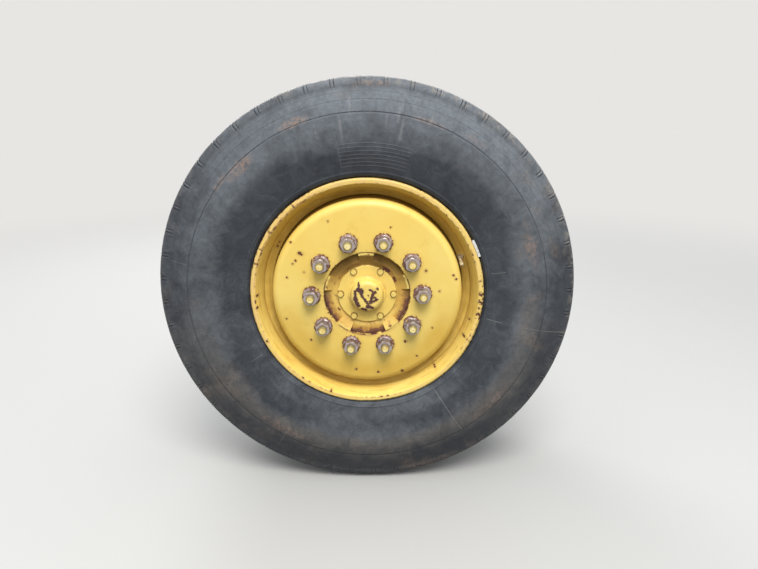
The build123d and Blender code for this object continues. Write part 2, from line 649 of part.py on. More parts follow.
def make_shield_bolts():
    shank = KNUCKLE_FLANGE + SHIELD_WALL
    head = hex_head(SHIELD_BOLT_FLATS, SHIELD_BOLT_HEAD)
    bolt = head + Cylinder(SHIELD_BOLT_RADIUS, shank, align=(Align.CENTER, Align.CENTER, Align.MAX))
    return ring(Rot(180, 0, 0) * bolt, SHIELD_BOLT_CIRCLE / 2, SHIELD_BOLT_ANGLES, YOKE_DEPTH)


def ear_middle(side):
    return side * (YOKE_GAP + EAR) / 2


def arm_bolt_places(side):
    """Planes on an ear's pad, pointing away from it, one for each bolt of the arm's foot."""
    return [Plane(origin=(ARM_PAD, along - ARM_FOOT_BACK, ear_middle(side)), z_dir=(1, 0, 0))
            for along in (-ARM_BOLT_SPACING / 2, ARM_BOLT_SPACING / 2)]


def make_arm(eye, side):
    """A forged arm: a foot bolted to the ear, a tapering bar and an eye for a ball stud."""
    x, y = eye
    middle = ear_middle(side)
    foot = Box(ARM_FOOT, ARM_FOOT_LENGTH, EAR - 4, align=(Align.MIN, Align.CENTER, Align.CENTER))
    foot = fillet(foot.edges().filter_by(Axis.X), 5).moved(Location((ARM_PAD, -ARM_FOOT_BACK, 0)))
    root = ARM_PAD + ARM_FOOT - 1
    low, high = -ARM_FOOT_BACK - ARM_ROOT / 2, -ARM_FOOT_BACK + ARM_ROOT / 2
    bend = Line((root + ARM_NECK, low), (root + ARM_NECK, high))
    end = Pos(x, y) * Circle(EYE_RADIUS - 5)
    plan = make_hull([*bend.edges(), *end.edges()])
    plan += make_face(Polyline((root, low), (root + ARM_NECK, low), (root + ARM_NECK, high), (root, high),
                               close=True))
    bar = extrude(plan, ARM_HEIGHT / 2, both=True)
    bar = chamfer(bar.edges().filter_by(GeomType.LINE).filter_by(Plane.XY), 3)
    boss = Pos(x, y) * spun([(0, -EYE_HEIGHT / 2, 0), (EYE_RADIUS, -EYE_HEIGHT / 2, 3),
                             (EYE_RADIUS, EYE_HEIGHT / 2, 3), (0, EYE_HEIGHT / 2, 0)])
    arm = foot + bar + boss - Pos(x, y) * Cylinder(EYE_BORE, EYE_HEIGHT + 2)
    arm = arm.moved(Location((0, 0, middle)))
    for place in arm_bolt_places(side):
        arm -= place * Cylinder(ARM_BOLT_RADIUS + STUD_FIT, 3 * ARM_FOOT)
    return arm


def make_arm_bolts():
    head = hex_head(ARM_BOLT_FLATS, ARM_BOLT_HEAD).moved(Location((0, 0, ARM_FOOT)))
    shank = Cylinder(ARM_BOLT_RADIUS, ARM_FOOT + ARM_BOLT_DEPTH, align=(Align.CENTER, Align.CENTER, Align.MAX))
    bolt = head + shank.moved(Location((0, 0, ARM_FOOT)))
    return [place * bolt for side in (-1, 1) for place in arm_bolt_places(side)]


def make_spindle_nut():
    """A plain nut on a washer, against the outer bearing."""
    bore = THREAD_RADIUS + STUD_FIT
    washer = spun([(bore, 0, 0), (OUTER_JOURNAL + 12, 0, 0), (OUTER_JOURNAL + 12, SPINDLE_WASHER, 0),
                   (bore, SPINDLE_WASHER, 0)])
    nut = hex_head(SPINDLE_NUT_FLATS, SPINDLE_NUT, bore).moved(Location((0, 0, SPINDLE_WASHER)))
    return stand(washer + nut, 0, 0, thread_out)


def make_camshaft():
    """The shaft that the slack adjuster turns; its cam end is closed in by the drum."""
    return cam_pin(CAM_RADIUS, -knuckle_face - SHIELD_WALL - CAM_TIP, chamber_y + SLACK_WIDTH / 2 + CAM_END)


def make_slack():
    """A lever on the camshaft, with its adjusting worm across the boss and an eye at the top."""
    x, z = CAM_PLACE
    side = Plane((x, chamber_y, z), x_dir=(1, 0, 0), z_dir=(0, -1, 0))
    eye = Pos(0, SLACK_LENGTH) * Circle(SLACK_EYE)
    arm = extrude(make_hull([*Circle(0.75 * SLACK_BOSS).edges(), *eye.edges()]), SLACK_ARM / 2, both=True)
    boss = Cylinder(SLACK_BOSS, SLACK_WIDTH)
    boss = chamfer(boss.edges().filter_by(GeomType.CIRCLE), 2)
    worm = Plane((0, 0.9 * SLACK_BOSS, 0), z_dir=(1, 0, 0)) * Cylinder(WORM_RADIUS, WORM_LENGTH)
    head = Plane((WORM_LENGTH / 2, 0.9 * SLACK_BOSS, 0), z_dir=(1, 0, 0)) * hex_head(WORM_RADIUS, 8)
    lever = arm + boss + worm + head
    lever -= Cylinder(CAM_RADIUS + STUD_FIT, 2 * SLACK_WIDTH)
    lever -= Pos(0, SLACK_LENGTH) * Cylinder(PIN_RADIUS + STUD_FIT, 2 * SLACK_WIDTH)
    return side * lever


def make_pushrod():
    """A rod with a fork and pin at the slack adjuster's eye, up to the chamber's face."""
    gap = SLACK_ARM + 0.6
    width = gap + 2 * FORK_WALL
    low = (Align.MIN, Align.CENTER, Align.CENTER)
    fork = Box(SLACK_EYE + FORK_LENGTH, width, FORK_HEIGHT, align=low).moved(Location((-SLACK_EYE, 0, 0)))
    fork = fillet(fork.edges().filter_by(Axis.Y), 6)
    fork -= Box(SLACK_EYE * 2.2, gap, FORK_HEIGHT + 2, align=low).moved(Location((-SLACK_EYE - 1, 0, 0)))
    pin = Plane((0, 0, 0), z_dir=(0, 1, 0)) * Cylinder(PIN_RADIUS, width + 10)
    rod = Plane((FORK_LENGTH - 2, 0, 0), z_dir=(1, 0, 0)) * Cylinder(
        ROD_RADIUS, CHAMBER_REACH - FORK_LENGTH + 2 - CAM_GAP, align=(Align.CENTER, Align.CENTER, Align.MIN))
    return (fork + pin + rod).moved(Location((CAM_PLACE[0], chamber_y, pin_z)))


def make_chamber():
    """Two pressed shells joined by a clamp ring, with two air ports on the far end."""
    rim_start = 0.42 * CHAMBER_LENGTH
    wide = CHAMBER_RADIUS + CHAMBER_CLAMP
    shell = spun([
        (0, 0, 0), (0.72 * CHAMBER_RADIUS, 0, 8), (CHAMBER_RADIUS, rim_start - 4, 14), (wide, rim_start, 2),
        (wide, rim_start + 16, 2), (CHAMBER_RADIUS, rim_start + 20, 3),
        (0.94 * CHAMBER_RADIUS, CHAMBER_LENGTH - 14, 20), (0.5 * CHAMBER_RADIUS, CHAMBER_LENGTH, 16),
        (0, CHAMBER_LENGTH, 0)])
    port = Cylinder(PORT_RADIUS, PORT_HEIGHT + 6, align=(Align.CENTER, Align.CENTER, Align.MIN))
    bore = Cylinder(0.5 * PORT_RADIUS, PORT_HEIGHT + 2, align=(Align.CENTER, Align.CENTER, Align.MIN))
    for across in (-0.25 * CHAMBER_RADIUS, 0.25 * CHAMBER_RADIUS):
        shell += Pos(across, 0, CHAMBER_LENGTH - 6) * port
        shell -= Pos(across, 0, CHAMBER_LENGTH) * bore
    return Plane((chamber_face, chamber_y, pin_z), x_dir=(0, 1, 0), z_dir=(1, 0, 0)) * shell


def chamber_stud_places():
    return [(chamber_face - BRACKET_WALL, chamber_y + along, pin_z)
            for along in (-CHAMBER_STUD_SPACING / 2, CHAMBER_STUD_SPACING / 2)]


def make_bracket():
    """The camshaft's tube with a web that rises to the plate on which the chamber is bolted."""
    x, z = CAM_PLACE
    tube_end = chamber_y - SLACK_WIDTH / 2 - 1.0
    web_y = chamber_y - CHAMBER_STUD_SPACING / 2 - WEB_SET
    tube = cam_pin(CAM_RADIUS + CAM_TUBE_WALL, -knuckle_face, tube_end)
    collar = cam_pin(CAM_RADIUS + CAM_TUBE_WALL + 8.0, -YOKE_DEPTH, 10.0 - YOKE_DEPTH)
    edge = Line((chamber_face - x - 2.0, pin_z - z - BRACKET_FACE / 2),
                (chamber_face - x - 2.0, pin_z - z + BRACKET_FACE / 2))
    plan = make_hull([*Circle(CAM_RADIUS + CAM_TUBE_WALL + 8.0).edges(), *edge.edges()])
    web = Plane((x, web_y, z), x_dir=(1, 0, 0), z_dir=(0, -1, 0)) * extrude(plan, BRACKET_WALL)
    face = Box(BRACKET_WALL, chamber_y + CHAMBER_STUD_SPACING / 2 + 20.0 - web_y + BRACKET_WALL, BRACKET_FACE,
               align=(Align.MAX, Align.MIN, Align.CENTER))
    face = fillet(face.edges().filter_by(Axis.X).group_by(Axis.Y)[-1], 14)
    bracket = tube + collar + web + face.moved(Location((chamber_face, web_y - BRACKET_WALL, pin_z)))
    bracket -= cam_pin(CAM_RADIUS + CAM_GAP, -knuckle_face - 1, tube_end + 1)
    way = Plane((chamber_face, chamber_y, pin_z), z_dir=(1, 0, 0))
    bracket -= way * Cylinder(1.8 * ROD_RADIUS, 4 * BRACKET_WALL)
    for place in chamber_stud_places():
        bracket -= Plane(place, z_dir=(1, 0, 0)) * Cylinder(SHIELD_BOLT_RADIUS + STUD_FIT, 4 * BRACKET_WALL)
    return bracket


def make_chamber_nuts():
    """Nut and stud in one, on the plate's near side."""
    nut = hex_head(SHIELD_BOLT_FLATS, SHIELD_BOLT_HEAD)
    stud = Pos(0, 0, -BRACKET_WALL) * Cylinder(
        SHIELD_BOLT_RADIUS, BRACKET_WALL + SHIELD_BOLT_HEAD + 6, align=(Align.CENTER, Align.CENTER, Align.MIN))
    return [Plane(place, z_dir=(-1, 0, 0)) * (nut + stud) for place in chamber_stud_places()]


# The body that spins
save("tyre", make_tyre())
save("rim", make_rim())
save("wheel_disc", make_disc())
save("valve", make_valve())
save("balance_weight", make_weight())
save("hub", make_hub())
save("brake_drum", make_drum())
save("wheel_studs", *make_studs())
save("nut_washers", *make_washers())
save("wheel_nuts", *ring(hex_head(NUT_FLATS, NUT_HEIGHT, STUD_RADIUS + STUD_FIT), STUD_CIRCLE / 2,
                         stud_angles, nut_face))
save("hub_cap", make_cap())
save("cap_bolts", *make_cap_bolts())
save("inner_bearing", make_bearing(INNER_JOURNAL, INNER_CUP, INNER_BEARING, inner_bearing_out))
save("outer_bearing", make_bearing(OUTER_JOURNAL, OUTER_CUP, OUTER_BEARING, outer_bearing_out))
save("hub_seal", make_seal())

# The body that the kingpin holds
save("knuckle", make_knuckle())
save("upper_bush", make_bush(1))
save("lower_bush", make_bush(-1))
save("dust_shield", make_shield())
save("shield_bolts", *make_shield_bolts())
save("steering_arm", make_arm(STEERING_EYE, 1))
save("tie_rod_arm", make_arm(TIE_ROD_EYE, -1))
save("arm_bolts", *make_arm_bolts())
save("spindle_nut", make_spindle_nut())
save("camshaft", make_camshaft())
save("chamber_bracket", make_bracket())
save("slack_adjuster", make_slack())
save("pushrod", make_pushrod())
save("brake_chamber", make_chamber())
save("chamber_nuts", *make_chamber_nuts())
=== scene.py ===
import math

import bpy
import numpy as np
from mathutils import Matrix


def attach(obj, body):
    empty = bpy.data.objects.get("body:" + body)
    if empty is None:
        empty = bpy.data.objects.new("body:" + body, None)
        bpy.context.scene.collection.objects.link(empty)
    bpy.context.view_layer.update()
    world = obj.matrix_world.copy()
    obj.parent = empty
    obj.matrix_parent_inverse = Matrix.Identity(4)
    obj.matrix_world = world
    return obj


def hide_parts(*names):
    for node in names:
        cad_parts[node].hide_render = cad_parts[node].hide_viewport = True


# The looks of a worn single wheel on its steering knuckle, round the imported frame.
# The spindle runs along -Y through the origin, and "out" is a distance outboard of the kingpin. Lengths are
# in metres, apart from those named as millimetres or multiplied by MM. Angles are in degrees round the
# spindle from +X towards +Z.
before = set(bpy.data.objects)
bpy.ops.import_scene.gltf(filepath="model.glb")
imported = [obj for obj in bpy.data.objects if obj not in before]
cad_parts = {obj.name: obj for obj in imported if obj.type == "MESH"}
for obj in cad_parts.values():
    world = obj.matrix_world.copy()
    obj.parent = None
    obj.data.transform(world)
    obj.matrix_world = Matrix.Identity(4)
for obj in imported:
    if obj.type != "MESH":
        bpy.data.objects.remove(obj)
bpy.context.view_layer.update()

MM = 0.001
WHEEL_OUT = 84.0  # the tyre's centre plane, in millimetres
TYRE_RADIUS = 536.0  # in millimetres, at the middle of the tread
TREAD_EDGE = 156.0  # from the centre plane, in millimetres
CROWN = 6.0  # how far the tread falls from its middle to its edge, in millimetres
FLOOR = -0.5365
STUD_CIRCLE = 0.142875
STUD_PHASE = 1.0  # angle of the first stud
STUD_STEP = 36.0
THREAD_PITCH = 0.0018
BOLT_CIRCLE = 0.0685  # of the cap's bolts
BOLT_STEP = 60.0
PAD_PHASE = 19.0  # angle of the first pilot pad
PAD_STEP = 72.0


def add_node(tree, kind, **settings):
    made = tree.nodes.new("ShaderNode" + kind)
    for key, value in settings.items():
        setattr(made, key, value)
    return made


def add_nodes(tree, *kinds):
    return [add_node(tree, kind) for kind in kinds]


def link_all(tree, pairs):
    for output, socket in pairs:
        tree.links.new(output, socket)


def add_object(name, data):
    made = bpy.data.objects.new(name, data)
    bpy.context.scene.collection.objects.link(made)
    return made


class Look:
    """A material with short names for the nodes that its look is made of."""

    def __init__(self, name, colour=(0.5, 0.5, 0.5), roughness=0.5, metallic=0.0, specular=0.5):
        self.material = bpy.data.materials.new(name)
        self.material.use_nodes = True
        self.tree = self.material.node_tree
        self.shader = self.tree.nodes["Principled BSDF"]
        self.give(self.shader, (("Base Color", colour), ("Roughness", roughness), ("Metallic", metallic),
                                ("Specular IOR Level", specular)))
        self.place = self.node("TexCoord").outputs["Object"]
        split = self.node("SeparateXYZ")
        self.join(self.place, split.inputs[0])
        self.x, self.y, self.z = split.outputs
        self.out = self.times(self.y, -1.0)
        self.height = None

    def node(self, kind, **settings):
        return add_node(self.tree, kind, **settings)

    def join(self, value, socket):
        if isinstance(value, bpy.types.NodeSocket):
            self.tree.links.new(value, socket)
        elif isinstance(value, tuple) and len(value) == 3 and socket.type == "RGBA":
            socket.default_value = (*value, 1)
        else:
            socket.default_value = value

    def give(self, node, values):
        """Joins or sets a node's inputs, each by its name or number."""
        for key, value in values:
            self.join(value, node.inputs[key])

    def math(self, operation, a, b=0.0, c=0.0, clamp=False):
        made = self.node("Math", operation=operation, use_clamp=clamp)
        for value, socket in zip((a, b, c), made.inputs):
            self.join(value, socket)
        return made.outputs[0]

    def vector(self, operation, a, b=(0.0, 0.0, 0.0), scale=1.0):
        made = self.node("VectorMath", operation=operation)
        self.give(made, ((0, a), ("Scale", scale) if operation == "SCALE" else (1, b)))
        return made.outputs["Value" if operation in ("DOT_PRODUCT", "DISTANCE") else "Vector"]

    def fold(self, operation, values):
        made, *others = values
        for value in others:
            made = self.math(operation, made, value)
        return made

    def most(self, *values):
        return self.fold("MAXIMUM", values)

    def least(self, *values):
        return self.fold("MINIMUM", values)

    def times(self, *values):
        return self.fold("MULTIPLY", values)

    def total(self, *values):
        return self.fold("ADD", values)

    def swing(self, value, reach=1.0):
        """A noise of about a half turned into one about nought, times the reach."""
        return self.times(self.less(value, 0.5), reach)

    def less(self, a, b):
        return self.math("SUBTRACT", a, b)

    def other(self, value):
        """What is left of one."""
        return self.less(1.0, value)

    def wave(self, value, rate):
        return self.math("SINE", self.times(value, rate))

    def ramp(self, value, low, high, start=0.0, end=1.0):
        """From start to end, smoothly, as the value goes from low to high."""
        made = self.node("MapRange", interpolation_type="SMOOTHSTEP")
        for item, socket in zip((value, low, high, start, end), made.inputs):
            self.join(item, socket)
        return made.outputs[0]

    def fall(self, value, low, high, start=1.0):
        """From start to nought, smoothly, as the value goes from low to high."""
        return self.ramp(value, low, high, start, 0.0)

    def band(self, value, middle, half, soft):
        """One within half of the middle, falling to nought over the soft distance."""
        return self.fall(self.math("ABSOLUTE", self.less(value, middle)), half, half + soft)

    def noise(self, scale, detail=3.0, roughness=0.55, shift=0.0, stretch=(1, 1, 1), warp=0.0):
        place = self.vector("MULTIPLY", self.place, tuple(float(v) for v in stretch))
        place = self.vector("ADD", place, (shift, 0.7 * shift, 1.3 * shift))
        made = self.node("TexNoise")
        self.give(made, (("Vector", place), ("Scale", scale), ("Detail", detail), ("Roughness", roughness),
                         ("Distortion", warp)))
        return made.outputs["Fac"]

    def cells(self, scale, shift=0.0):
        """Distance to the nearest of a scatter of points, and that point's own random number."""
        place = self.vector("ADD", self.place, (shift, shift, 0.4 * shift))
        made = self.node("TexVoronoi")
        self.give(made, (("Vector", place), ("Scale", scale)))
        split = self.node("SeparateColor")
        self.join(made.outputs["Color"], split.inputs[0])
        return made.outputs["Distance"], split.outputs[0]

    def mix(self, factor, a, b):
        made = self.node("Mix", data_type="RGBA")
        self.give(made, ((0, factor), (6, a), (7, b)))
        return made.outputs[2]

    def length(self, a, b):
        return self.math("SQRT", self.total(self.times(a, a), self.times(b, b)))

    def radius(self):
        return self.length(self.x, self.z)

    def angle(self):
        return self.times(self.math("ARCTAN2", self.z, self.x), 180 / math.pi)

    def turned_from(self, angle, middle, period=360.0):
        """Degrees from the nearest of a ring of angles."""
        return self.math("WRAP", self.less(angle, middle), period / 2, -period / 2)

    def arc_from(self, angle, radius, middle, period=360.0):
        """Distance round the spindle from the nearest of a ring of angles."""
        turn = self.math("RADIANS", self.turned_from(angle, middle, period))
        return self.math("ABSOLUTE", self.times(turn, radius))

    def sector(self, angle, middle, half, reach, far=0.0, period=360.0):
        """One within half of a ring of angles, falling to the far value at the reach."""
        away = self.math("ABSOLUTE", self.turned_from(angle, middle, period))
        return self.ramp(away, half, reach, 1.0, far)

    def seen(self):
        """The place as it is seen along the spindle."""
        made = self.node("CombineXYZ")
        self.give(made, ((0, self.x), (2, self.z)))
        return made.outputs[0]

    def speckle(self, scale, share, size, shift=0.0):
        """Scattered spots: about this share of the cells hold one, of this size in cell widths."""
        distance, chance = self.cells(scale, shift)
        rough = self.times(self.noise(scale * 4, 2.0, shift=shift + 2), 0.5)
        return self.times(self.fall(chance, share, share + 0.01),
                          self.fall(self.total(distance, rough), size, size + 0.06))

    def raise_by(self, value, depth):
        """Adds to the bump height, in metres."""
        part = self.times(value, depth)
        self.height = part if self.height is None else self.total(self.height, part)

    def done(self, colour, roughness, metallic=None):
        """Joins colour, finish and bump to the shader."""
        for name, value in (("Base Color", colour), ("Roughness", roughness), ("Metallic", metallic)):
            if value is not None:
                self.join(value, self.shader.inputs[name])
        if self.height is not None:
            bump = self.node("Bump")
            self.give(bump, (("Strength", 1.0), ("Distance", 1.0), ("Height", self.height)))
            self.join(bump.outputs[0], self.shader.inputs["Normal"])
        return self.material


YELLOW = (0.92, 0.65, 0.15)
YELLOW_PALE = (0.95, 0.72, 0.2)
YELLOW_DEEP = (0.70, 0.42, 0.055)
RUST_DARK = (0.075, 0.028, 0.022)
RUST = (0.21, 0.075, 0.03)
RUST_LIGHT = (0.42, 0.17, 0.05)
BARE = (0.085, 0.034, 0.038)
PEACH = (0.88, 0.57, 0.24)


def paint_ground(look):
    """Yellow paint that has faded in clouds and run darker in places."""
    clouds = look.noise(5.0, 4.0, 0.6, shift=3)
    base = look.mix(look.ramp(clouds, 0.35, 0.68), YELLOW, YELLOW_PALE)
    grime = look.times(look.ramp(look.noise(17.0, 5.0, 0.62, shift=9), 0.52, 0.8), 0.45)
    base = look.mix(grime, base, YELLOW_DEEP)
    fine = look.times(look.ramp(look.noise(160.0, 3.0, 0.6), 0.6, 0.85), 0.18)
    look.raise_by(look.noise(420.0, 2.0), 0.00012)
    look.raise_by(clouds, 0.0006)
    return look.mix(fine, base, YELLOW_DEEP)


def rusted(look, base, chips, stain):
    """Bare brown metal where the paint has come off, with a rusty stain round it."""
    grain = look.noise(240.0, 4.0, 0.6, shift=5)
    metal = look.mix(look.ramp(grain, 0.4, 0.65), RUST_DARK, RUST)
    colour = look.mix(look.times(stain, 0.8), base, RUST_LIGHT)
    colour = look.mix(chips, colour, metal)
    look.raise_by(chips, -0.0005)
    return colour


def peg_distance(look, circle=STUD_CIRCLE, phase=STUD_PHASE, period=STUD_STEP):
    """Distance from the axis of the nearest of a circle of studs or bolts."""
    turn = look.math("RADIANS", look.turned_from(look.angle(), phase, period))
    radius = look.radius()
    along = look.less(look.times(radius, look.math("COSINE", turn)), circle)
    return look.length(along, look.times(radius, look.math("SINE", turn)))


def spots(look, places, warp=0.004):
    """Distance outside ragged spots at these x, z and radii, in millimetres, seen along the spindle."""
    shake = look.swing(look.noise(150.0, 3.0, shift=1), warp * 2)
    seen = look.seen()
    gaps = []
    for x, z, size in places:
        away = look.vector("DISTANCE", seen, (x * MM, 0.0, z * MM))
        gaps.append(look.less(away, size * 0.82 * MM))
    return look.total(look.least(*gaps), shake)


# bare spots: x, z and radius, in millimetres
DISC_CHIPS = (
    (-191, 137, 2.6), (-170, 109, 4.4), (-165, 106, 3.2), (-180, 90, 2.4), (-188, 82, 2.2), (-204, 46, 2.0),
    (150, 64, 3.6), (220, 52, 2.4), (228, 42, 2.2), (93, -213, 4.2), (29, -216, 2.6), (-30, -208, 2.6),
    (-148, -125, 2.8), (100, -128, 3.6), (-100, -49, 2.0), (-96, 190, 1.6), (-160, 60, 1.5), (60, 176, 1.3),
    (186, 10, 1.5), (170, -90, 1.8), (131, -170, 1.6), (-210, -66, 1.6))


def disc_paint():
    look = Look("disc_paint", YELLOW, 0.4)
    base = paint_ground(look)
    radius = look.radius()
    near = spots(look, DISC_CHIPS)
    chips = look.fall(near, 0.0, 0.0008)
    stain = look.fall(near, 0.0, 0.006, 0.55)
    to_stud = peg_distance(look)
    flakes = look.noise(115.0, 4.0, 0.6, shift=12)
    seat = look.band(to_stud, 0.024, 0.0005, 0.0016)
    ring_rust = look.times(seat, look.ramp(flakes, 0.47, 0.55))
    bore = look.fall(radius, 0.1105, 0.1135)
    bore_rust = look.times(bore, look.ramp(look.noise(60.0, 4.0, shift=21), 0.44, 0.54))
    specks = look.times(look.speckle(26.0, 0.15, 0.12, shift=4), look.ramp(look.out, 0.2, 0.235))
    chips = look.most(chips, ring_rust, bore_rust, specks)
    stain = look.most(stain, look.times(look.fall(to_stud, 0.023, 0.034, 0.4), look.ramp(flakes, 0.35, 0.7)),
                      look.times(look.fall(radius, 0.11, 0.122, 0.5), look.ramp(flakes, 0.4, 0.6)))
    # painted shade: the face's lower outer part is mixed towards deep yellow, darker towards the bottom
    low = look.times(look.ramp(look.z, 0.02, -0.11), look.ramp(radius, 0.165, 0.21),
                     look.ramp(look.noise(12.0, 4.0, shift=44), 0.3, 0.7, 0.55, 0.8))
    base = look.mix(low, base, YELLOW_DEEP)
    # painted shade: the shoulder darkens towards the rim and is darkest in the crevice where it meets the
    # well
    crevice = look.times(look.fall(look.out, 0.2, 0.238), look.ramp(radius, 0.2, 0.235))
    base = look.mix(look.times(crevice, 0.6), base, (0.42, 0.24, 0.035))
    crevice_shadow = look.times(look.fall(look.out, 0.207, 0.222), look.ramp(radius, 0.24, 0.2455))
    base = look.mix(look.times(crevice_shadow, 0.85), base, (0.17, 0.09, 0.015))
    colour = rusted(look, base, chips, stain)
    colour = look.mix(look.times(look.fall(look.out, 0.15, 0.19), 0.8), colour, RUST_DARK)
    rough = look.ramp(chips, 0.0, 1.0, 0.42, 0.85)
    return look.done(colour, rough)


RIM_CHIPS = (
    (-282, -1, 2.6), (-283, -33, 2.6), (-261, -125, 2.4), (-232, 118, 3.0), (-226, 128, 2.0), (268, -70, 2.0),
    (254, -114, 2.6), (180, -206, 2.4), (-98, -268, 2.2))
LIP_CUTS = (127.8, 145.3, 155.6, 163.1)  # angles


def rim_paint():
    look = Look("rim_paint", YELLOW, 0.38)
    base = paint_ground(look)
    radius, angle = look.radius(), look.angle()
    outer = look.ramp(look.out, 0.15, 0.16)
    face = look.ramp(look.out, 0.242, 0.2495)
    lip = look.times(face, look.ramp(radius, 0.2835, 0.2865))
    # the lip is paler on the upper left, partly where grit and tyre levers have burnished it and partly as a
    # painted highlight
    upper_left = look.sector(angle, 140.0, 40.0, 120.0, 0.55)
    rubbed_and_highlight = look.times(lip, look.ramp(look.noise(34.0, 4.0, shift=2), 0.3, 0.55), upper_left)
    base = look.mix(look.times(rubbed_and_highlight, 0.6), base, PEACH)
    # its inner half is stained on the upper left, with a ragged border and a few cuts across it
    shake = look.swing(look.noise(64.0, 5.0, 0.7, shift=37))
    ragged = look.total(radius, look.times(shake, 0.013))
    tan = look.times(lip, look.fall(ragged, 0.2885, 0.2898),
                     look.sector(angle, 142.0, 16.0, 40.0))
    base = look.mix(look.times(tan, 0.7), base, (0.46, 0.23, 0.055))
    swung = look.total(angle, look.times(shake, 5.0))
    cuts = look.times(look.most(*(look.band(swung, middle, 0.2, 0.3) for middle in LIP_CUTS)), lip)
    nick = look.noise(95.0, 5.0, 0.66, shift=6)
    patch = look.noise(9.0, 3.0, shift=14)
    right = look.sector(angle, -10.0, 10.0, 32.0)
    bottom = look.sector(angle, -88.0, 15.0, 38.0)
    flaked = look.sector(angle, 146.0, 14.0, 34.0)
    worn = look.total(nick, look.swing(patch, 0.6))
    struck = look.total(worn, look.times(look.most(right, bottom, flaked), 0.09))
    inner_edge = look.times(face, look.band(radius, 0.2862, 0.0008, 0.0022))
    outer_edge = look.times(face, look.ramp(radius, 0.2945, 0.2985))
    middle = look.times(face, look.band(radius, 0.2925, 0.004, 0.004), right)
    nicked = look.total(worn, look.times(flaked, 0.04))
    chips = look.most(look.times(cuts, 0.8), look.times(inner_edge, look.ramp(nicked, 0.635, 0.655)),
                      look.times(outer_edge, look.ramp(struck, 0.61, 0.635)),
                      look.times(middle, look.ramp(struck, 0.66, 0.68)))
    marks = spots(look, RIM_CHIPS, 0.005)
    chips = look.most(chips, look.times(look.fall(marks, 0.0, 0.0008), outer))
    stain = look.times(look.most(inner_edge, outer_edge), look.ramp(worn, 0.5, 0.62))
    stain = look.most(stain, look.times(look.fall(marks, 0.0, 0.007, 0.5), outer))
    # the barrel is darkened with painted shade where the step meets the seat, with paler and darker bands
    # beside it
    shade = look.times(look.fall(radius, 0.262, 0.28), outer,
                       look.ramp(look.noise(30.0, 4.0, shift=30), 0.3, 0.7, 0.25, 0.55))
    base = look.mix(shade, base, (0.58, 0.33, 0.045))
    bands = look.noise(1.0, 3.0, 0.6, shift=3, stretch=(14.0, 210.0, 14.0))
    banded = look.times(outer, look.ramp(bands, 0.5, 0.66), look.ramp(radius, 0.284, 0.281), 0.5)
    base = look.mix(banded, base, (0.62, 0.33, 0.04))
    colour = rusted(look, base, chips, look.times(stain, 0.8))
    # road dirt and brake dust on the inboard side, thickest in the well, over paint with rust blisters
    inboard = look.other(outer)
    deep = look.ramp(look.out, -0.07, 0.1)
    spread = look.total(look.noise(11.0, 6.0, 0.72, shift=8), look.times(deep, 0.14))
    film = look.times(inboard, look.ramp(spread, 0.3, 0.72, 0.12, 0.8))
    grit = look.noise(210.0, 4.0, 0.66, shift=19)
    dirt = look.mix(look.ramp(grit, 0.35, 0.65), (0.1, 0.068, 0.04), (0.24, 0.165, 0.09))
    colour = look.mix(film, colour, dirt)
    splash = look.times(inboard, look.ramp(look.noise(34.0, 5.0, 0.7, shift=51), 0.57, 0.66))
    colour = look.mix(look.times(splash, 0.55), colour, (0.34, 0.27, 0.18))
    blister = look.times(inboard, look.ramp(look.noise(52.0, 5.0, 0.66, shift=13), 0.62, 0.67))
    colour = look.mix(blister, colour, look.mix(look.ramp(grit, 0.4, 0.6), RUST_DARK, RUST_LIGHT))
    look.raise_by(look.times(inboard, grit), 0.0005)
    rough = look.most(look.ramp(chips, 0.0, 1.0, 0.36, 0.85), look.times(look.most(film, blister), 0.85))
    return look.done(colour, rough)


# strokes of bare metal on the dome: start and end as x and z, and half width, in millimetres
DOME_CHIPS = (
    ((-22.5, 19.4), (-13.7, 16.6), 5.0), ((-14.7, 14), (-14.6, 9.3), 3.6), ((-21, 34), (-20, 26), 1.8),
    ((-29.4, 13.9), (-29.4, -2.6), 2.4), ((-29.4, -2.6), (-26.5, -14.4), 3.8),
    ((-26.5, -14.4), (-21.6, -23), 4.2), ((-14.7, 6.6), (2, -18.5), 1.9), ((-11.8, -31), (-2, -35), 2.3),
    ((2.5, -26), (3.5, -26), 4.6), ((3, -26), (13.7, -28.5), 3.0), ((6.9, -17), (14.7, 3), 2.5),
    ((14.7, 6.6), (20.6, 12), 3.0), ((14.7, 14.8), (7.8, 18.5), 1.5), ((25.5, 22), (27.5, 20), 1.2),
    ((10.8, -15.4), (25.5, -7), 2.0), ((25.5, -7), (18.6, -0.7), 1.7), ((3, 3), (3.5, 3), 1.0))


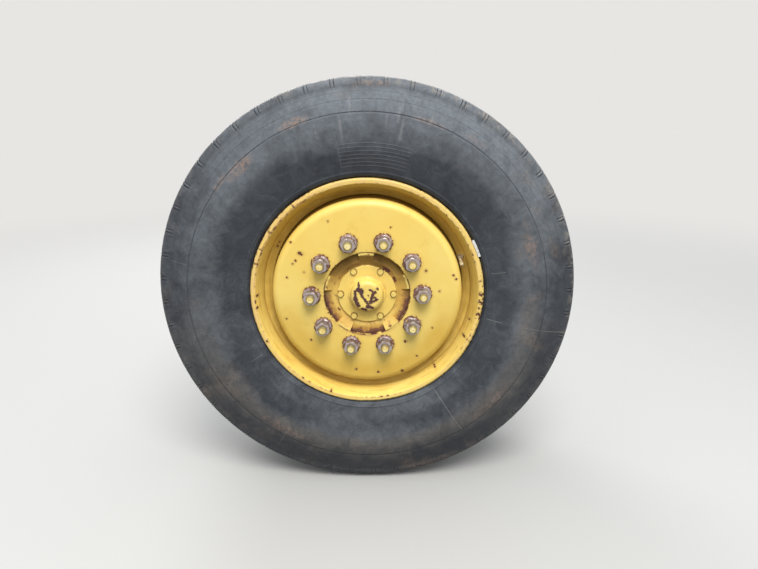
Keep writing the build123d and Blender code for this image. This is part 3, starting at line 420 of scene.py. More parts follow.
def cap_paint():
    """The dome's paint has flaked off in ragged strokes."""
    look = Look("cap_paint", YELLOW, 0.36)
    base = paint_ground(look)
    shake = look.swing(look.noise(230.0, 5.0, 0.78, shift=7), 0.0165)
    seen = look.seen()
    gaps = []
    for start, end, size in DOME_CHIPS:
        a, b = (np.array([x, 0.0, z]) * MM for x, z in (start, end))
        way = b - a
        from_a = look.vector("SUBTRACT", seen, tuple(a))
        part = look.vector("DOT_PRODUCT", from_a, tuple(way / float(way @ way)))
        part = look.most(look.least(part, 1.0), 0.0)
        foot = look.vector("SCALE", tuple(way), scale=part)
        gaps.append(look.less(look.vector("DISTANCE", from_a, foot), (size + 0.7) * MM))
    near = look.total(look.least(*gaps), shake)
    dome = look.ramp(look.out, 0.245, 0.25)
    chips = look.times(look.fall(near, 0.0, 0.0007), dome)
    chips = look.most(chips, look.speckle(60.0, 0.2, 0.1, shift=3))
    radius = look.radius()
    foot = look.times(look.band(radius, 0.0485, 0.001, 0.004), look.ramp(look.noise(40.0, 3.0), 0.45, 0.65))
    stain = look.most(look.times(look.fall(near, 0.0, 0.003, 0.3), dome), look.times(foot, 0.4))
    edge = look.times(look.ramp(radius, 0.0745, 0.0765),
                      look.ramp(look.noise(60.0, 4.0, shift=4), 0.45, 0.55))
    to_bolt = peg_distance(look, BOLT_CIRCLE, 0.0, BOLT_STEP)
    # painted shade: a dark olive ring round the foot of each bolt on the flange
    dirt = look.times(look.band(to_bolt, 0.0078, 0.0011, 0.0016),
                      look.ramp(look.noise(150.0, 3.0), 0.3, 0.6, 0.45, 0.95))
    base = look.mix(dirt, base, (0.2, 0.115, 0.03))
    colour = rusted(look, base, look.most(chips, edge), stain)
    bare = look.times(chips, dome, look.ramp(look.noise(120.0, 3.0), 0.3, 0.7, 0.5, 1.0))
    colour = look.mix(bare, colour, BARE)
    return look.done(colour, look.ramp(chips, 0.0, 1.0, 0.34, 0.8))


def hub_iron():
    """Faded yellow round the cap, with painted shade at the top and in the upper recesses and a painted
    highlight on the pads' end faces, and rusty between the lower pilot pads.
    """
    look = Look("hub_iron", YELLOW_DEEP, 0.55)
    base = paint_ground(look)
    radius, angle = look.radius(), look.angle()
    flakes = look.noise(75.0, 5.0, 0.65, shift=2)
    patches = look.noise(16.0, 3.0, shift=8)
    base = look.mix(look.ramp(patches, 0.38, 0.66, 0.45, 0.9), base, (0.68, 0.4, 0.08))
    # painted shade: the hub darkens to olive towards the top
    base = look.mix(look.times(look.ramp(look.z, 0.01, 0.07), 0.92), base, (0.24, 0.13, 0.018))
    pads = look.math("ABSOLUTE", look.turned_from(angle, PAD_PHASE, PAD_STEP))
    gap = look.ramp(pads, 10.3, 11.2)
    recess = look.times(gap, look.ramp(radius, 0.086, 0.096), look.fall(look.out, 0.2325, 0.2335))
    low = look.ramp(look.z, 0.025, -0.02)
    # painted shade: the recesses between the upper pads are darkened
    base = look.mix(look.times(recess, look.other(low), 0.4), base, (0.12, 0.07, 0.014))
    depth = look.total(radius, look.swing(flakes, 0.04))
    scale = look.mix(look.ramp(depth, 0.092, 0.104), (0.56, 0.29, 0.06), (0.12, 0.04, 0.042))
    base = look.mix(look.times(recess, low, look.ramp(depth, 0.086, 0.096, 0.3, 0.95)), base, scale)
    # painted highlight: the pads' end faces are paler yellow
    land = look.ramp(look.out, 0.2417, 0.2421)
    base = look.mix(look.times(land, 0.85), base, YELLOW_PALE)
    upper_right = look.times(look.sector(angle, 42.0, 12.0, 32.0), look.fall(radius, 0.083, 0.088))
    worn = look.total(flakes, look.times(upper_right, 0.2))
    rust = look.ramp(worn, 0.62, 0.7)
    flange = look.fall(look.out, 0.2285, 0.2295)
    colour = rusted(look, base, rust, look.ramp(worn, 0.52, 0.68, 0.0, 0.6))
    inside = look.mix(look.ramp(flakes, 0.35, 0.65), RUST_DARK, RUST)
    colour = look.mix(look.times(flange, look.ramp(radius, 0.108, 0.112)), colour, inside)
    return look.done(colour, look.ramp(look.most(rust, recess), 0.0, 1.0, 0.5, 0.85))


def nut_steel(name, rust_at, yellow_at, rim=0.0):
    """Grey steel with a violet cast, rust in blotches, a little overspray and a dark rim on a washer."""
    look = Look(name, (0.42, 0.36, 0.35), 0.4, 0.35)
    blotch = look.noise(95.0, 5.0, 0.62, shift=3)
    fine = look.noise(420.0, 3.0, 0.6)
    colour = look.mix(look.ramp(fine, 0.3, 0.7), (0.36, 0.3, 0.3), (0.6, 0.52, 0.505))
    rust = look.ramp(blotch, rust_at, rust_at + 0.1)
    if rim:
        rust = look.most(rust, look.times(look.ramp(peg_distance(look), 0.0208, 0.0222),
                                          look.ramp(blotch, 0.34, 0.5, 0.35, rim)))
    else:
        flank = look.times(look.ramp(look.out, 0.2705, 0.2685), look.ramp(blotch, 0.3, 0.55, 0.35, 0.8))
        colour = look.mix(flank, colour, (0.16, 0.115, 0.11))
    colour = look.mix(rust, colour, look.mix(look.ramp(fine, 0.35, 0.65), BARE, (0.27, 0.115, 0.07)))
    over = look.ramp(look.noise(120.0, 3.0, shift=15), yellow_at, yellow_at + 0.05)
    colour = look.mix(look.times(over, 0.8), colour, YELLOW_DEEP)
    look.raise_by(blotch, 0.0008)
    look.raise_by(fine, 0.00022)
    metal = look.fall(look.most(rust, over), 0.0, 1.0, 0.6)
    return look.done(colour, look.ramp(rust, 0.0, 1.0, 0.33, 0.85), metal)


def stud_steel():
    """Threaded ends with yellow paint on their tips, painted shade round the tips' edges and at their roots.
    """
    look = Look("stud_steel", YELLOW, 0.4)
    thread = look.wave(look.out, 2 * math.pi / THREAD_PITCH)
    wear = look.noise(140.0, 4.0, shift=5)
    colour = look.mix(look.ramp(wear, 0.4, 0.62), (0.93, 0.8, 0.4), (0.84, 0.6, 0.17))
    to_stud = peg_distance(look)
    groove = look.times(look.fall(thread, -0.8, 0.1), 0.75)
    side = look.fall(look.out, 0.2795, 0.281)
    # painted shade: a dark olive ring round the edge of each tip
    colour = look.mix(look.times(look.ramp(to_stud, 0.0070, 0.0080), 0.8), colour, (0.25, 0.185, 0.05))
    colour = look.mix(look.times(groove, side), colour, (0.16, 0.1, 0.05))
    # painted shade: the stud darkens where it leaves the nut's bore
    colour = look.mix(look.fall(look.out, 0.2715, 0.2735, 0.85), colour, (0.12, 0.085, 0.06))
    look.raise_by(look.times(look.total(thread, 1.0), side), 0.0005)
    look.raise_by(wear, 0.0003)
    return look.done(colour, 0.42)


def bolt_steel(name="bolt_steel", yellow=0.0):
    """Plain rusty bolts, or the cap's, under this share of yellow paint, with painted shade on their heads'
    sides.
    """
    look = Look(name, (0.35, 0.3, 0.26), 0.5, 0.5)
    grain = look.noise(260.0, 4.0, 0.6)
    blotch = look.noise(70.0, 4.0, shift=6)
    colour = look.mix(look.ramp(grain, 0.35, 0.65), (0.22, 0.19, 0.17), (0.42, 0.37, 0.32))
    rust = look.ramp(blotch, 0.5, 0.62)
    colour = look.mix(rust, colour, RUST)
    metal = look.fall(rust, 0.0, 1.0, 0.6)
    if yellow:
        cover = look.ramp(look.noise(190.0, 4.0, shift=9), 0.3, 0.36)
        # painted shade: below the top, the heads' sides are dark olive
        head = look.mix(look.ramp(look.out, 0.2378, 0.2392), (0.42, 0.25, 0.045),
                        look.mix(grain, YELLOW, YELLOW_PALE))
        colour = look.mix(look.times(cover, yellow), colour, head)
        metal = look.times(metal, 1.0 - yellow)
    look.raise_by(grain, 0.0002)
    return look.done(colour, look.ramp(rust, 0.0, 1.0, 0.42, 0.85), metal)


def iron(name, light, dark, rust_low, roughness=0.62, dust=0.35, lines=0.0, grease=0.0):
    """Cast, forged or pressed metal: a coat, rust through it, grease and dust on what faces up."""
    look = Look(name, light, roughness)
    grain = look.noise(190.0, 4.0, 0.62)
    blotch = look.noise(23.0, 5.0, 0.62, shift=11)
    colour = look.mix(look.ramp(look.noise(9.0, 3.0, shift=2), 0.35, 0.65), dark, light)
    colour = look.mix(look.times(look.ramp(grain, 0.45, 0.75), 0.35), colour, dark)
    rust = look.times(look.ramp(blotch, rust_low, rust_low + 0.12), look.ramp(grain, 0.3, 0.5, 0.6, 1.0))
    colour = look.mix(rust, colour, look.mix(grain, RUST_DARK, RUST_LIGHT))
    if grease:
        worn = look.node("NewGeometry").outputs["Pointiness"]
        edge = look.times(look.ramp(worn, 0.51, 0.545), look.ramp(grain, 0.4, 0.55))
        colour = look.mix(look.times(edge, 0.8), colour, (0.3, 0.17, 0.1))
        oil = look.ramp(look.noise(14.0, 6.0, 0.7, shift=27), 0.48, 0.66)
        oily = look.mix(grain, (0.045, 0.035, 0.025), (0.1, 0.075, 0.05))
        colour = look.mix(look.times(oil, grease), colour, oily)
    facing = look.node("SeparateXYZ")
    look.join(look.node("TexCoord").outputs["Normal"], facing.inputs[0])
    settled = look.times(look.ramp(facing.outputs[2], 0.1, 0.9),
                         look.ramp(look.noise(48.0, 4.0, shift=1), 0.3, 0.7))
    colour = look.mix(look.times(settled, dust), colour, (0.36, 0.29, 0.2))
    look.raise_by(grain, 0.0004)
    look.raise_by(blotch, 0.0006)
    if lines:
        look.raise_by(look.wave(look.radius(), lines), 0.00008)
    return look.done(colour, look.ramp(rust, 0.0, 1.0, roughness, 0.9))


def shaft_steel():
    look = Look("shaft_steel", (0.5, 0.48, 0.45), 0.32, 0.9)
    grease = look.ramp(look.noise(26.0, 4.0, shift=4), 0.45, 0.62)
    lathe = look.wave(look.y, 9000.0)
    colour = look.mix(look.times(grease, 0.85), (0.5, 0.48, 0.45), (0.09, 0.07, 0.05))
    look.raise_by(lathe, 0.00003)
    look.raise_by(grease, 0.0003)
    return look.done(colour, look.ramp(grease, 0.0, 1.0, 0.3, 0.6), look.ramp(grease, 0.0, 1.0, 0.9, 0.1))


def bronze():
    look = Look("bush_bronze", (0.5, 0.33, 0.13), 0.35, 0.9)
    smear = look.ramp(look.noise(60.0, 4.0), 0.45, 0.65)
    colour = look.mix(look.times(smear, 0.7), (0.55, 0.36, 0.14), (0.14, 0.09, 0.04))
    look.raise_by(look.wave(look.z, 7000.0), 0.00003)
    return look.done(colour, look.ramp(smear, 0.0, 1.0, 0.3, 0.6))


def valve_metal():
    look = Look("valve_brass", (0.5, 0.4, 0.24), 0.5, 0.3)
    dust = look.ramp(look.noise(180.0, 4.0, shift=2), 0.36, 0.56)
    colour = look.mix(dust, (0.38, 0.26, 0.11), (0.66, 0.56, 0.38))
    look.raise_by(look.noise(420.0, 2.0), 0.0002)
    return look.done(colour, 0.55, look.fall(dust, 0.0, 1.0, 0.6))


def weight_metal():
    look = Look("weight_metal", (0.72, 0.71, 0.68), 0.5)
    scuff = look.ramp(look.noise(120.0, 5.0, 0.65), 0.55, 0.66)
    colour = look.mix(look.times(scuff, 0.8), (0.78, 0.77, 0.74), (0.3, 0.28, 0.26))
    look.raise_by(scuff, -0.0002)
    return look.done(colour, 0.5)


def seal_rubber():
    look = Look("seal_rubber", (0.03, 0.03, 0.03), 0.6)
    look.raise_by(look.wave(look.radius(), 4200.0), 0.0002)
    greasy = look.ramp(look.noise(80.0, 3.0), 0.4, 0.6, 0.3, 0.7)
    return look.done(look.mix(greasy, (0.03, 0.03, 0.03), (0.06, 0.045, 0.03)), greasy)


# rings on the wall: radius, width and height above it, in millimetres, and darkness, which is painted shade
# in the sunk ones
RING_LINES = (
    (450.7, 1.1, -1.2, 0.6), (478.6, 0.9, -0.35, 0.2), (496.4, 0.9, -0.3, 0.2),
    (305.5, 1.4, 1.3, 0.0), (311.5, 1.0, 1.1, 0.0))
# fine lines left by the mould's joints: angle, inner and outer radius in metres, strength
HAIRS = (
    (-55.5, 0.314, 0.45, 0.6), (-11.0, 0.311, 0.352, 0.5), (-11.0, 0.409, 0.53, 0.55),
    (11.0, 0.317, 0.352, 0.4), (79.5, 0.453, 0.497, 0.35), (169.0, 0.453, 0.5, 0.25),
    (-120.0, 0.42, 0.49, 0.3), (-150.0, 0.314, 0.35, 0.3))
# the shoulder's notches: their number, the radius they are spaced at, their foot's radius, their slits' arc
# distances from the notch's middle, all in millimetres, and the first one's angle
PITCHES = 52
PITCH_RADIUS = 520.0
NOTCH_FOOT = 508.0
SLIT = (3.2, 5.5)
FIRST_NOTCH = 1.78
# the ribbed panel: its middle angle, half its angle and its ribs' spacing
PANEL = (87.0, 13.0, 0.0088)
# brown clay on the wall: angle, radius and half its size along it in degrees and across it, and strength,
# with radius and width in millimetres
CLAY = ((111.6, 457.0, 3.6, 8.0, 0.7), (132.8, 440.0, 4.2, 12.0, 0.55), (140.0, 452.0, 3.0, 7.0, 0.35),
        (17.0, 424.0, 4.5, 12.0, 0.4), (-42.0, 438.0, 7.0, 10.0, 0.3), (-122.0, 430.0, 9.0, 9.0, 0.35),
        (88.0, 514.0, 4.0, 6.0, 0.35), (71.0, 452.0, 4.0, 5.0, 0.4), (56.0, 462.0, 3.0, 5.0, 0.25))
# pale drips: angle, inner and outer radius, half width, in millimetres
DRIPS = (
    (78.5, 384.0, 450.0, 3.4), (80.2, 424.0, 474.0, 2.6), (83.6, 414.0, 452.0, 2.4),
    (98.0, 388.0, 450.0, 3.0), (70.5, 432.0, 480.0, 3.2), (94.5, 440.0, 492.0, 2.8),
    (106.0, 396.0, 444.0, 2.6), (76.2, 430.0, 456.0, 2.2))
DRIP_FADE = 12.0


def radial_line(look, angle, radius, middle, low, high, core, edge, fade):
    """A line at an angle from the low to the high radius, with its half widths and its ends' softness."""
    away = look.arc_from(angle, radius, middle)
    return look.times(look.fall(away, core, edge), look.ramp(radius, low, low + fade),
                      look.fall(radius, high, high + fade))


def tyre_rubber():
    """Blue-grey rubber under pale dust, thickest on the upper shoulder, with brown smears; the dust's amount
    also holds painted light and shade.
    """
    look = Look("tyre_rubber", (0.07, 0.075, 0.085), 0.62, specular=0.3)
    radius, angle = look.radius(), look.angle()
    across = look.math("ABSOLUTE", look.less(look.out, WHEEL_OUT * MM))
    side = look.ramp(across, 0.15, 0.165)
    broad = look.noise(6.0, 4.0, 0.6, shift=4, warp=0.5)
    mottle = look.noise(26.0, 6.0, 0.76, shift=8, warp=0.8)
    patchy = look.noise(13.0, 4.0, 0.6, shift=33, warp=1.2)
    fine = look.noise(110.0, 5.0, 0.7, shift=8)
    grit = look.noise(420.0, 3.0, 0.6)

    # dust lies on the belly and the upper shoulder, in clouds, and is brown on the lower half; its amount
    # also holds painted light and shade, more where the walls face up and less where they face down
    top = look.ramp(look.z, -0.02, 0.42)
    diagonal = look.sector(angle, 45.0, 12.0, 32.0, period=90.0)
    upper_left = look.sector(angle, 134.0, 16.0, 40.0)
    right = look.sector(angle, -5.0, 10.0, 30.0)
    left = look.sector(angle, 184.0, 14.0, 30.0)
    # painted light and shade: the amount rises on the upper shoulder and the lower inner wall, which face up,
    # and falls on the upper inner wall, the bottom, and the outer shoulder's sides and lower half, which face
    # down or away from the light
    parts = ((0.5, look.ramp(radius, 0.345, 0.4)),
             (-0.34, look.times(diagonal, look.band(radius, 0.376, 0.014, 0.022))),
             (-0.3, look.times(look.ramp(look.z, 0.16, 0.3), look.ramp(radius, 0.37, 0.335))),
             (-0.32, look.times(upper_left, look.ramp(radius, 0.445, 0.47))),
             (0.14, look.times(left, look.ramp(radius, 0.45, 0.475))),
             (-0.2, look.times(look.ramp(look.z, -0.3, -0.42), look.ramp(radius, 0.415, 0.44))),
             (-0.16, look.times(right, look.ramp(radius, 0.42, 0.44))),
             (0.34, look.times(top, look.ramp(radius, 0.445, 0.458),
                               look.ramp(radius, 0.485, 0.526, 1.0, 0.42))),
             (-0.45, look.times(look.ramp(radius, 0.435, 0.49), look.other(top))),
             (0.22, look.times(look.ramp(look.z, -0.12, -0.3), look.ramp(radius, 0.38, 0.335))),
             (0.7, look.swing(broad)), (1.2, look.swing(mottle)), (0.9, look.swing(patchy)))
    dust_light_and_shade = look.total(0.1, *(look.times(value, share) for share, value in parts))
    thin = look.ramp(look.total(mottle, look.times(broad, 0.5)), 0.6, 0.95, 0.0, 0.24)
    dust_light_and_shade = look.math("ADD", dust_light_and_shade, 0.0, clamp=True)
    # the dust here also holds painted light and shade
    dust = look.times(look.most(dust_light_and_shade, thin), look.ramp(fine, 0.25, 0.7, 0.7, 1.1))
    low = look.times(look.ramp(look.z, 0.1, -0.3), look.ramp(radius, 0.38, 0.42))
    powder = look.mix(look.times(low, 0.8), (0.165, 0.183, 0.205), (0.178, 0.157, 0.136))
    rubber = look.mix(look.ramp(look.noise(3.6, 3.0, shift=1), 0.35, 0.7),
                      (0.033, 0.037, 0.046), (0.047, 0.052, 0.062))
    colour = look.mix(dust, rubber, powder)
    smear = look.times(look.ramp(look.noise(7.0, 5.0, 0.62, shift=17, warp=0.6), 0.54, 0.68),
                       look.ramp(radius, 0.37, 0.41), look.ramp(fine, 0.35, 0.6, 0.25, 1.0))
    colour = look.mix(look.times(smear, 0.5), colour, (0.2, 0.16, 0.13))
    streak = look.ramp(look.noise(20.0, 5.0, 0.7, shift=40, stretch=(1, 1, 0.3)), 0.54, 0.66)
    colour = look.mix(look.times(streak, side, 0.35), colour, (0.042, 0.043, 0.05))
    clay = []
    for middle, ring, length, width, strength in CLAY:
        way = look.math("DIVIDE", look.turned_from(angle, middle), length)
        off = look.math("DIVIDE", look.less(radius, ring * MM), width * MM)
        away = look.total(look.times(way, way), look.times(off, off))
        clay.append(look.fall(away, 0.0, 2.6, strength))
    clay = look.times(look.most(*clay), look.ramp(fine, 0.4, 0.62, 0.1, 1.0), side)
    colour = look.mix(clay, colour, (0.36, 0.235, 0.18))

    hairs = []
    for middle, low, high, strength in HAIRS:
        line = radial_line(look, angle, radius, middle, low, high, 0.0005, 0.0013, 0.002)
        hairs.append(look.times(line, strength))
    drips = look.most(*(radial_line(look, angle, radius, middle, low * MM, (high - DRIP_FADE) * MM,
                                    width * MM * 0.3, width * MM * 1.6, DRIP_FADE * MM)
                        for middle, low, high, width in DRIPS))
    hairs = look.times(look.most(*hairs), side)
    drips = look.times(drips, side, look.ramp(fine, 0.38, 0.56, 0.15, 1.0))
    colour = look.mix(look.times(drips, 0.3), colour, (0.32, 0.315, 0.32))
    colour = look.mix(look.times(hairs, look.ramp(fine, 0.3, 0.6, 0.4, 1.0)), colour, (0.3, 0.29, 0.27))
    look.raise_by(hairs, 0.0008)

    # fine concentric ribs on a panel at the top, with a border on its left
    middle, half, spacing = PANEL
    panel = look.times(look.band(angle, middle, half, 1.2), look.ramp(radius, 0.325, 0.328),
                       look.fall(radius, 0.386, 0.389), side)
    ribs = look.ramp(look.wave(radius, 2 * math.pi / spacing), 0.62, 0.95)
    ribs = look.times(panel, look.most(ribs, look.band(angle, middle + half + 0.2, 0.12, 0.15)))
    look.raise_by(ribs, 0.0005)
    colour = look.mix(look.times(ribs, 0.2), colour, (0.27, 0.27, 0.27))
    # painted shade: the sunk ring lines are darkened in patches
    for middle, width, _, darkness in RING_LINES:
        if darkness:
            line = look.times(look.band(radius, middle * MM, width * MM * 0.5, 0.001), side, darkness)
            line = look.times(line, look.ramp(patchy, 0.38, 0.6, 0.35, 1.0))
            colour = look.mix(line, colour, (0.02, 0.02, 0.024))

    # the tread's edge is scuffed, most of all on the right, and has a thin painted highlight along its corner
    scuff = look.times(look.ramp(radius, 0.505, 0.526),
                       look.ramp(look.noise(60.0, 5.0, 0.7, shift=31), 0.47, 0.6),
                       look.sector(angle, 38.0, 30.0, 62.0, 0.3))
    colour = look.mix(look.times(scuff, 0.55), colour, (0.29, 0.25, 0.21))
    tread = look.fall(across, 0.1535, 0.157)
    worn = look.mix(look.ramp(fine, 0.3, 0.7), (0.11, 0.108, 0.105), (0.24, 0.225, 0.205))
    worn = look.mix(look.ramp(mottle, 0.5, 0.7, 0.0, 0.6), worn, (0.07, 0.07, 0.072))
    colour = look.mix(look.times(tread, 0.85), colour, worn)
    rise = look.times(across, across, CROWN * MM / (TREAD_EDGE * MM) ** 2)
    sunk = look.less(look.less(TYRE_RADIUS * MM, rise), radius)
    colour = look.mix(look.times(tread, look.ramp(sunk, 0.0015, 0.006), 0.85), colour, (0.035, 0.033, 0.032))
    # painted highlight: a thin pale line along the tread's outer corner
    pale = look.times(look.band(across, 0.1555, 0.0035, 0.002), look.ramp(radius, 0.5262, 0.5275),
                      look.ramp(look.noise(48.0, 5.0, 0.66, shift=6), 0.38, 0.62, 0.12, 1.0))
    colour = look.mix(look.times(pale, 0.8), colour, (0.42, 0.4, 0.37))

    # the two thin slits of each shoulder notch, joined at the foot, painted near-black as the shade inside
    # them and less dark where half filled with dirt
    local = look.arc_from(angle, radius, FIRST_NOTCH, 360.0 / PITCHES)
    slit = look.times(look.band(local, 0.5 * (SLIT[0] + SLIT[1]) * MM, 0.0007, 0.0006),
                      look.ramp(radius, (NOTCH_FOOT - 0.6) * MM, (NOTCH_FOOT + 0.4) * MM),
                      look.ramp(across, 0.146, 0.149))
    foot = look.times(look.fall(local, SLIT[1] * MM - 0.001, SLIT[1] * MM),
                      look.band(radius, (NOTCH_FOOT + 0.6) * MM, 0.0006, 0.0006), side)
    depth = look.times(look.ramp(radius, NOTCH_FOOT * MM, 0.521, 0.4, 1.0),
                       look.ramp(patchy, 0.4, 0.58, 0.4, 1.0), look.ramp(fine, 0.38, 0.52, 0.45, 1.0))
    notch = look.times(look.most(slit, look.times(foot, 0.6)), depth, 0.92)
    colour = look.mix(notch, colour, (0.01, 0.01, 0.012))

    look.raise_by(look.total(look.times(fine, 0.6), look.times(grit, 0.25)), 0.0008)
    look.raise_by(mottle, 0.0012)
    return look.done(colour, look.ramp(dust, 0.0, 1.0, 0.5, 0.85))


def arc(a, b, c, count):
    """Points on the arc from a through b to c, without the last one."""
    (ax, ay), (bx, by), (cx, cy) = a, b, c
    d = 2 * (ax * (by - cy) + bx * (cy - ay) + cx * (ay - by))
    ux = ((ax**2 + ay**2) * (by - cy) + (bx**2 + by**2) * (cy - ay) + (cx**2 + cy**2) * (ay - by)) / d
    uy = ((ax**2 + ay**2) * (cx - bx) + (bx**2 + by**2) * (ax - cx) + (cx**2 + cy**2) * (bx - ax)) / d
    radius = math.hypot(ax - ux, ay - uy)
    start, mid, end = (math.atan2(y - uy, x - ux) for x, y in (a, b, c))
    span = (end - start) % (2 * math.pi)
    if (mid - start) % (2 * math.pi) > span:
        span -= 2 * math.pi
    turns = [start + span * i / count for i in range(count)]
    return [(ux + radius * math.cos(turn), uy + radius * math.sin(turn)) for turn in turns]


def wall_profile(shoulder, belly, low):
    """A wall from tread edge to bead as radius and distance from the centre plane, and its arcs' steps."""
    points = arc((530, 156), (522.8, 167.55), (506, 172.17), shoulder)
    points += arc((506, 172.17), (460.9, 188.34), (424, 194.5), belly)
    points += arc((424, 194.5), (361.3, 188.5), (309.65, 173.6), low)
    return points + [(309.65, 173.6), (304.5, 169.2), (300.9, 164.4), (299.4, 160.6), (296.9, 157.6),
                     (292.9, 155.9), (286.3, 150.6), (277.5, 122.0)]


def refine(points, lines):
    """Adds four points across each ring line, so that it can be raised or cut."""
    made = []
    for (r0, u0), (r1, u1) in zip(points, points[1:]):
        made.append((r0, u0))
        for middle, width, *_ in sorted(lines, reverse=True):
            for r in (middle + width + 0.8, middle + width * 0.4, middle - width * 0.4, middle - width - 0.8):
                if r1 < r < r0 and r1 > 290:
                    part = (r0 - r) / (r0 - r1)
                    made.append((r, u0 + part * (u1 - u0)))
    return made + [points[-1]]


# the grooves' places, size and swing, and depths in the skin, in millimetres
GROOVES = (98.3, 34.3, -34.3, -98.3)
GROOVE_WIDTH = 11.0
GROOVE_DEPTH = 9.0
ZIGZAG = 1.8
SLIT_DEPTH = 1.6
FOOT_DEPTH = 0.7
EDGE_WEAR = 1.2


def tread_profile():
    """Rows from the outboard edge: distance from the centre plane, groove depth, and is it grooved."""
    half = GROOVE_WIDTH / 2
    groove = ((half + 1.5, 0.0), (half, 0.8), (half - 1.3, GROOVE_DEPTH), (0.0, GROOVE_DEPTH + 0.4),
              (1.3 - half, GROOVE_DEPTH), (-half, 0.8), (-half - 1.5, 0.0))
    rows = [(middle + off, depth, 1.0) for middle in GROOVES for off, depth in groove]
    stops = [143.0] + [middle + off for middle in GROOVES for off in (half + 1.5, -half - 1.5)] + [-143.0]
    rows += [((a + b) / 2, 0.0, 0.0) for a, b in zip(stops[::2], stops[1::2])]
    rows += [(across, 0.0, 0.0) for across in (150.0, 143.0, -143.0, -150.0)]
    return sorted(rows, reverse=True)


def crown(across):
    """The tread's radius at a distance from the centre plane."""
    return TYRE_RADIUS - CROWN * (across / TREAD_EDGE) ** 2


def tyre_mesh():
    """The tyre's skin with its grooves, ring lines and shoulder notches as real shapes."""
    outboard = refine(wall_profile(8, 12, 14), RING_LINES)
    inboard = refine(wall_profile(6, 8, 8), RING_LINES[:1])
    half = [(330.0, 150.0), (400.0, 172.0), (450.0, 168.0), (490.0, 145.0), (503.0, 100.0)]
    liner = [(r, -u) for r, u in half] + half[::-1]
    # each row: radius, distance from the centre plane, does it zigzag, is it notched, is it a wall
    rows = [(r, u, 0.0, r > NOTCH_FOOT - 0.1, True) for r, u in reversed(outboard)]
    rows += [(crown(u) - depth, u, grooved, abs(u) > 146, False) for u, depth, grooved in tread_profile()]
    rows += [(r, -u, 0.0, r > NOTCH_FOOT - 0.1, True) for r, u in inboard]
    rows += [(r, u, 0.0, False, False) for r, u in liner]
    radius, across, zig, notch, wall = (np.array(column, float) for column in zip(*rows))
    sign = np.sign(across)
    for middle, width, height, _ in RING_LINES:
        across = across + sign * (np.abs(radius - middle) < width * 0.5) * wall * height

    # the sections along the tyre: ten at each notch and three between it and the next
    near, far = SLIT
    steps = [-far - 1.3, -far - 0.5, -far, -near, 0.5 - near, near - 0.5, near, far, far + 0.5, far + 1.3,
             19.0, 31.4, 43.8]
    pitch = 2 * math.pi * PITCH_RADIUS / PITCHES
    arcs = np.array([p * pitch + step for p in range(PITCHES) for step in steps])
    local = np.abs(np.tile(steps, PITCHES))
    turns = arcs / PITCH_RADIUS + math.radians(FIRST_NOTCH)
    slit = (local >= near) & (local <= far)
    phase = (arcs / pitch) % 1.0
    zigzag = np.abs(phase * 2 - 1) * 2 - 1

    shape_r = np.tile(radius, (len(arcs), 1))
    shape_u = np.tile(across, (len(arcs), 1)) + np.outer(zigzag, zig) * ZIGZAG
    foot = ((radius > NOTCH_FOOT - 0.1) & (radius < NOTCH_FOOT + 3.2)) * wall
    depth = np.maximum(np.outer(slit, notch) * SLIT_DEPTH, np.outer(local < near, foot) * FOOT_DEPTH)
    shape_r -= depth * np.where(wall > 0, 0.75, 1.0)
    shape_u -= depth * sign * np.where(wall > 0, 0.66, 0.0)
    # the tread's edge is worn unevenly round the tyre
    bumps = np.random.default_rng(7).uniform(0, 1, 26)
    wear = np.interp(np.arange(len(arcs)), np.linspace(0, len(arcs), 27), np.append(bumps, bumps[0]))
    edge_zone = np.clip((radius - 522.0) / 7.0, 0, 1) * np.clip((np.abs(across) - 150.0) / 4.0, 0, 1)
    shape_r -= np.outer(wear * EDGE_WEAR, edge_zone)

    cos, sin = np.cos(turns)[:, None], np.sin(turns)[:, None]
    points = np.stack([shape_r * cos, -(shape_u + WHEEL_OUT), shape_r * sin], -1) * MM
    count = len(rows)
    i, j = np.meshgrid(np.arange(len(arcs)), np.arange(count), indexing="ij")
    i2, j2 = (i + 1) % len(arcs), (j + 1) % count
    faces = np.stack([i * count + j, i * count + j2, i2 * count + j2, i2 * count + j], -1).reshape(-1, 4)
    mesh = bpy.data.meshes.new("tyre_skin")
    mesh.from_pydata(points.reshape(-1, 3).tolist(), [], faces.tolist())
    mesh.validate()
    mesh.shade_smooth()
    mesh.materials.append(tyre_rubber())
    return add_object("tyre_skin", mesh)


skin = tyre_mesh()
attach(skin, "wheel")
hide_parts("tyre")

axle = iron("axle_paint", (0.66, 0.45, 0.1), (0.42, 0.27, 0.06), 0.58, dust=0.5, grease=0.75)
FINISH = {
    "rim": rim_paint(), "wheel_disc": disc_paint(), "hub_cap": cap_paint(), "hub": hub_iron(),
    "wheel_nuts": nut_steel("nut_steel", 0.6, 0.7),
    "nut_washers": nut_steel("washer_steel", 0.48, 0.62, 0.95),
    "wheel_studs": stud_steel(), "cap_bolts": bolt_steel("cap_bolt_paint", 0.97), "valve": valve_metal(),
    "balance_weight": weight_metal(), "hub_seal": seal_rubber(),
    "brake_drum": iron("drum_iron", (0.2, 0.12, 0.075), (0.1, 0.055, 0.035), 0.42, lines=2500.0),
    "knuckle": axle, "steering_arm": axle, "tie_rod_arm": axle, "chamber_bracket": axle,
    "slack_adjuster": axle,
    "dust_shield": iron("shield_steel", (0.09, 0.085, 0.08), (0.04, 0.04, 0.04), 0.52),
    "brake_chamber": iron("chamber_paint", (0.06, 0.06, 0.062), (0.03, 0.03, 0.03), 0.64, roughness=0.42),
    "camshaft": shaft_steel(), "pushrod": shaft_steel(), "upper_bush": bronze(), "lower_bush": bronze(),
    "inner_bearing": shaft_steel(), "outer_bearing": shaft_steel(), "spindle_nut": bolt_steel(),
    "shield_bolts": bolt_steel(), "arm_bolts": bolt_steel(), "chamber_nuts": bolt_steel(),
}
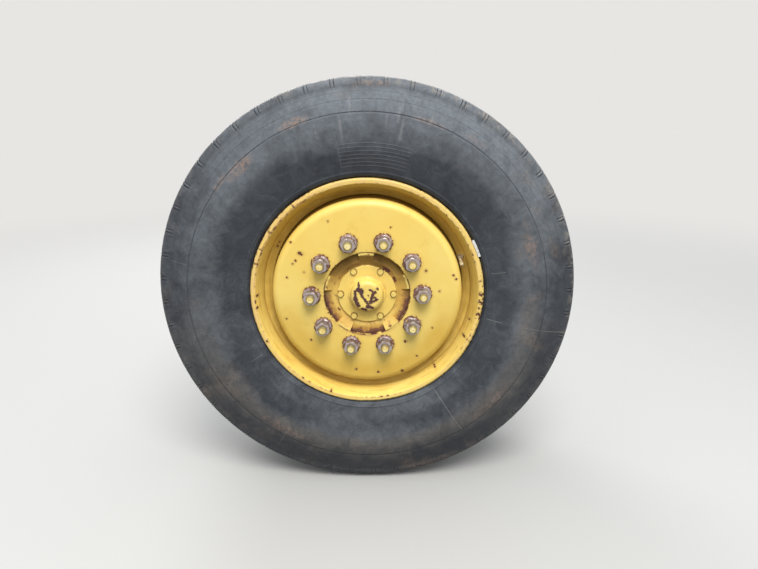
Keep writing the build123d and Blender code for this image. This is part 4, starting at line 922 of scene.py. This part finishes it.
for name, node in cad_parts.items():
    for slot in node.material_slots:
        slot.material = FINISH.get(name, slot.material)


def place_camera():
    """The photograph's view: a focal length of 570 pixels in a frame 758 wide, 16.48 degrees down."""
    data = bpy.data.cameras.new("camera")
    data.sensor_width = 36.0
    data.lens = 36.0 * 570.0 / 758.0
    camera = add_object("camera", data)
    camera.location = (0.0348, -1.6393, 0.4409)
    camera.rotation_euler = (math.radians(90 - 16.48), 0.0, math.radians(0.17))
    bpy.context.scene.camera = camera


PALE = (0.80, 0.79, 0.77)  # the surroundings' colour


def background_rays(tree):
    """One for the rays that show the pale surroundings: those of the camera, of gloss and through glass."""
    path = add_node(tree, "LightPath")
    total = path.outputs["Is Camera Ray"]
    for name in ("Is Glossy Ray", "Is Transmission Ray"):
        more = add_node(tree, "Math", operation="MAXIMUM")
        link_all(tree, ((total, more.inputs[0]), (path.outputs[name], more.inputs[1])))
        total = more.outputs[0]
    return total


def make_floor():
    """A wide pale floor that fades into the surroundings and throws little light back at the part."""
    size, rings, sides = 24.0, 8, 48
    verts, faces = [(0.0, 0.0, FLOOR)], []
    for k in range(1, rings + 1):
        reach = size * (k / rings) ** 2
        for i in range(sides):
            turn = 2 * math.pi * i / sides
            verts.append((reach * math.cos(turn), reach * math.sin(turn), FLOOR))
    for i in range(sides):
        after = (i + 1) % sides
        faces.append((0, 1 + i, 1 + after))
        for k in range(rings - 1):
            a, b = 1 + k * sides, 1 + (k + 1) * sides
            faces.append((a + i, b + i, b + after, a + after))
    mesh = bpy.data.meshes.new("floor")
    mesh.from_pydata(verts, [], faces)
    material = bpy.data.materials.new("floor")
    material.use_nodes = True
    tree = material.node_tree
    tree.nodes.clear()
    seen_by = background_rays(tree)
    place, pale, dark, far = add_nodes(tree, "TexCoord", "BsdfDiffuse", "BsdfDiffuse", "Emission")
    near_far, seen, out = add_nodes(tree, "MixShader", "MixShader", "OutputMaterial")
    pale.inputs[0].default_value = (0.5, 0.493, 0.48, 1)
    dark.inputs[0].default_value = (0.1, 0.095, 0.09, 1)
    far.inputs[0].default_value = (*PALE, 1)
    length = add_node(tree, "VectorMath", operation="LENGTH")
    fade = add_node(tree, "MapRange", interpolation_type="SMOOTHSTEP")
    fade.inputs[1].default_value, fade.inputs[2].default_value = 1.2, 5.5
    link_all(tree, (
        (place.outputs["Object"], length.inputs[0]), (length.outputs["Value"], fade.inputs[0]),
        (fade.outputs[0], near_far.inputs[0]), (pale.outputs[0], near_far.inputs[1]),
        (far.outputs[0], near_far.inputs[2]), (seen_by, seen.inputs[0]), (dark.outputs[0], seen.inputs[1]),
        (near_far.outputs[0], seen.inputs[2]), (seen.outputs[0], out.inputs[0])))
    mesh.materials.append(material)
    floor = add_object("floor", mesh)


def make_sky():
    """Pale surroundings to the camera; brighter overhead than at the horizon to the object."""
    world = bpy.data.worlds.new("sky")
    bpy.context.scene.world = world
    world.use_nodes = True
    tree = world.node_tree
    tree.nodes.clear()
    seen_by = background_rays(tree)
    place, split, ramp, light, back, mix, out = add_nodes(
        tree, "TexCoord", "SeparateXYZ", "MapRange", "Background", "Background", "MixShader", "OutputWorld")
    for socket, value in zip(ramp.inputs[1:5], (-0.1, 0.7, 0.22, 1.2)):
        socket.default_value = value
    light.inputs[0].default_value = (0.93, 0.97, 1.0, 1)
    back.inputs[0].default_value = (*PALE, 1)
    link_all(tree, (
        (place.outputs["Generated"], split.inputs[0]), (split.outputs[2], ramp.inputs[0]),
        (ramp.outputs[0], light.inputs[1]), (seen_by, mix.inputs[0]), (light.outputs[0], mix.inputs[1]),
        (back.outputs[0], mix.inputs[2]), (mix.outputs[0], out.inputs[0])))


def soft_light(name, location, size, power, colour=(1.0, 1.0, 1.0)):
    """A round lamp that faces the origin."""
    data = bpy.data.lights.new(name, "AREA")
    data.shape, data.size, data.energy, data.color = "DISK", size, power, colour
    light = add_object(name, data)
    light.location = location
    light.rotation_euler = (-light.location).to_track_quat("-Z", "Y").to_euler()


place_camera()
make_floor()
make_sky()
soft_light("front", (0.4, -2.5, 3.3), 2.2, 150.0, (1.0, 0.985, 0.95))
soft_light("back", (-1.5, 3.0, 2.4), 2.5, 75.0)
bpy.context.scene.view_settings.view_transform = "Standard"
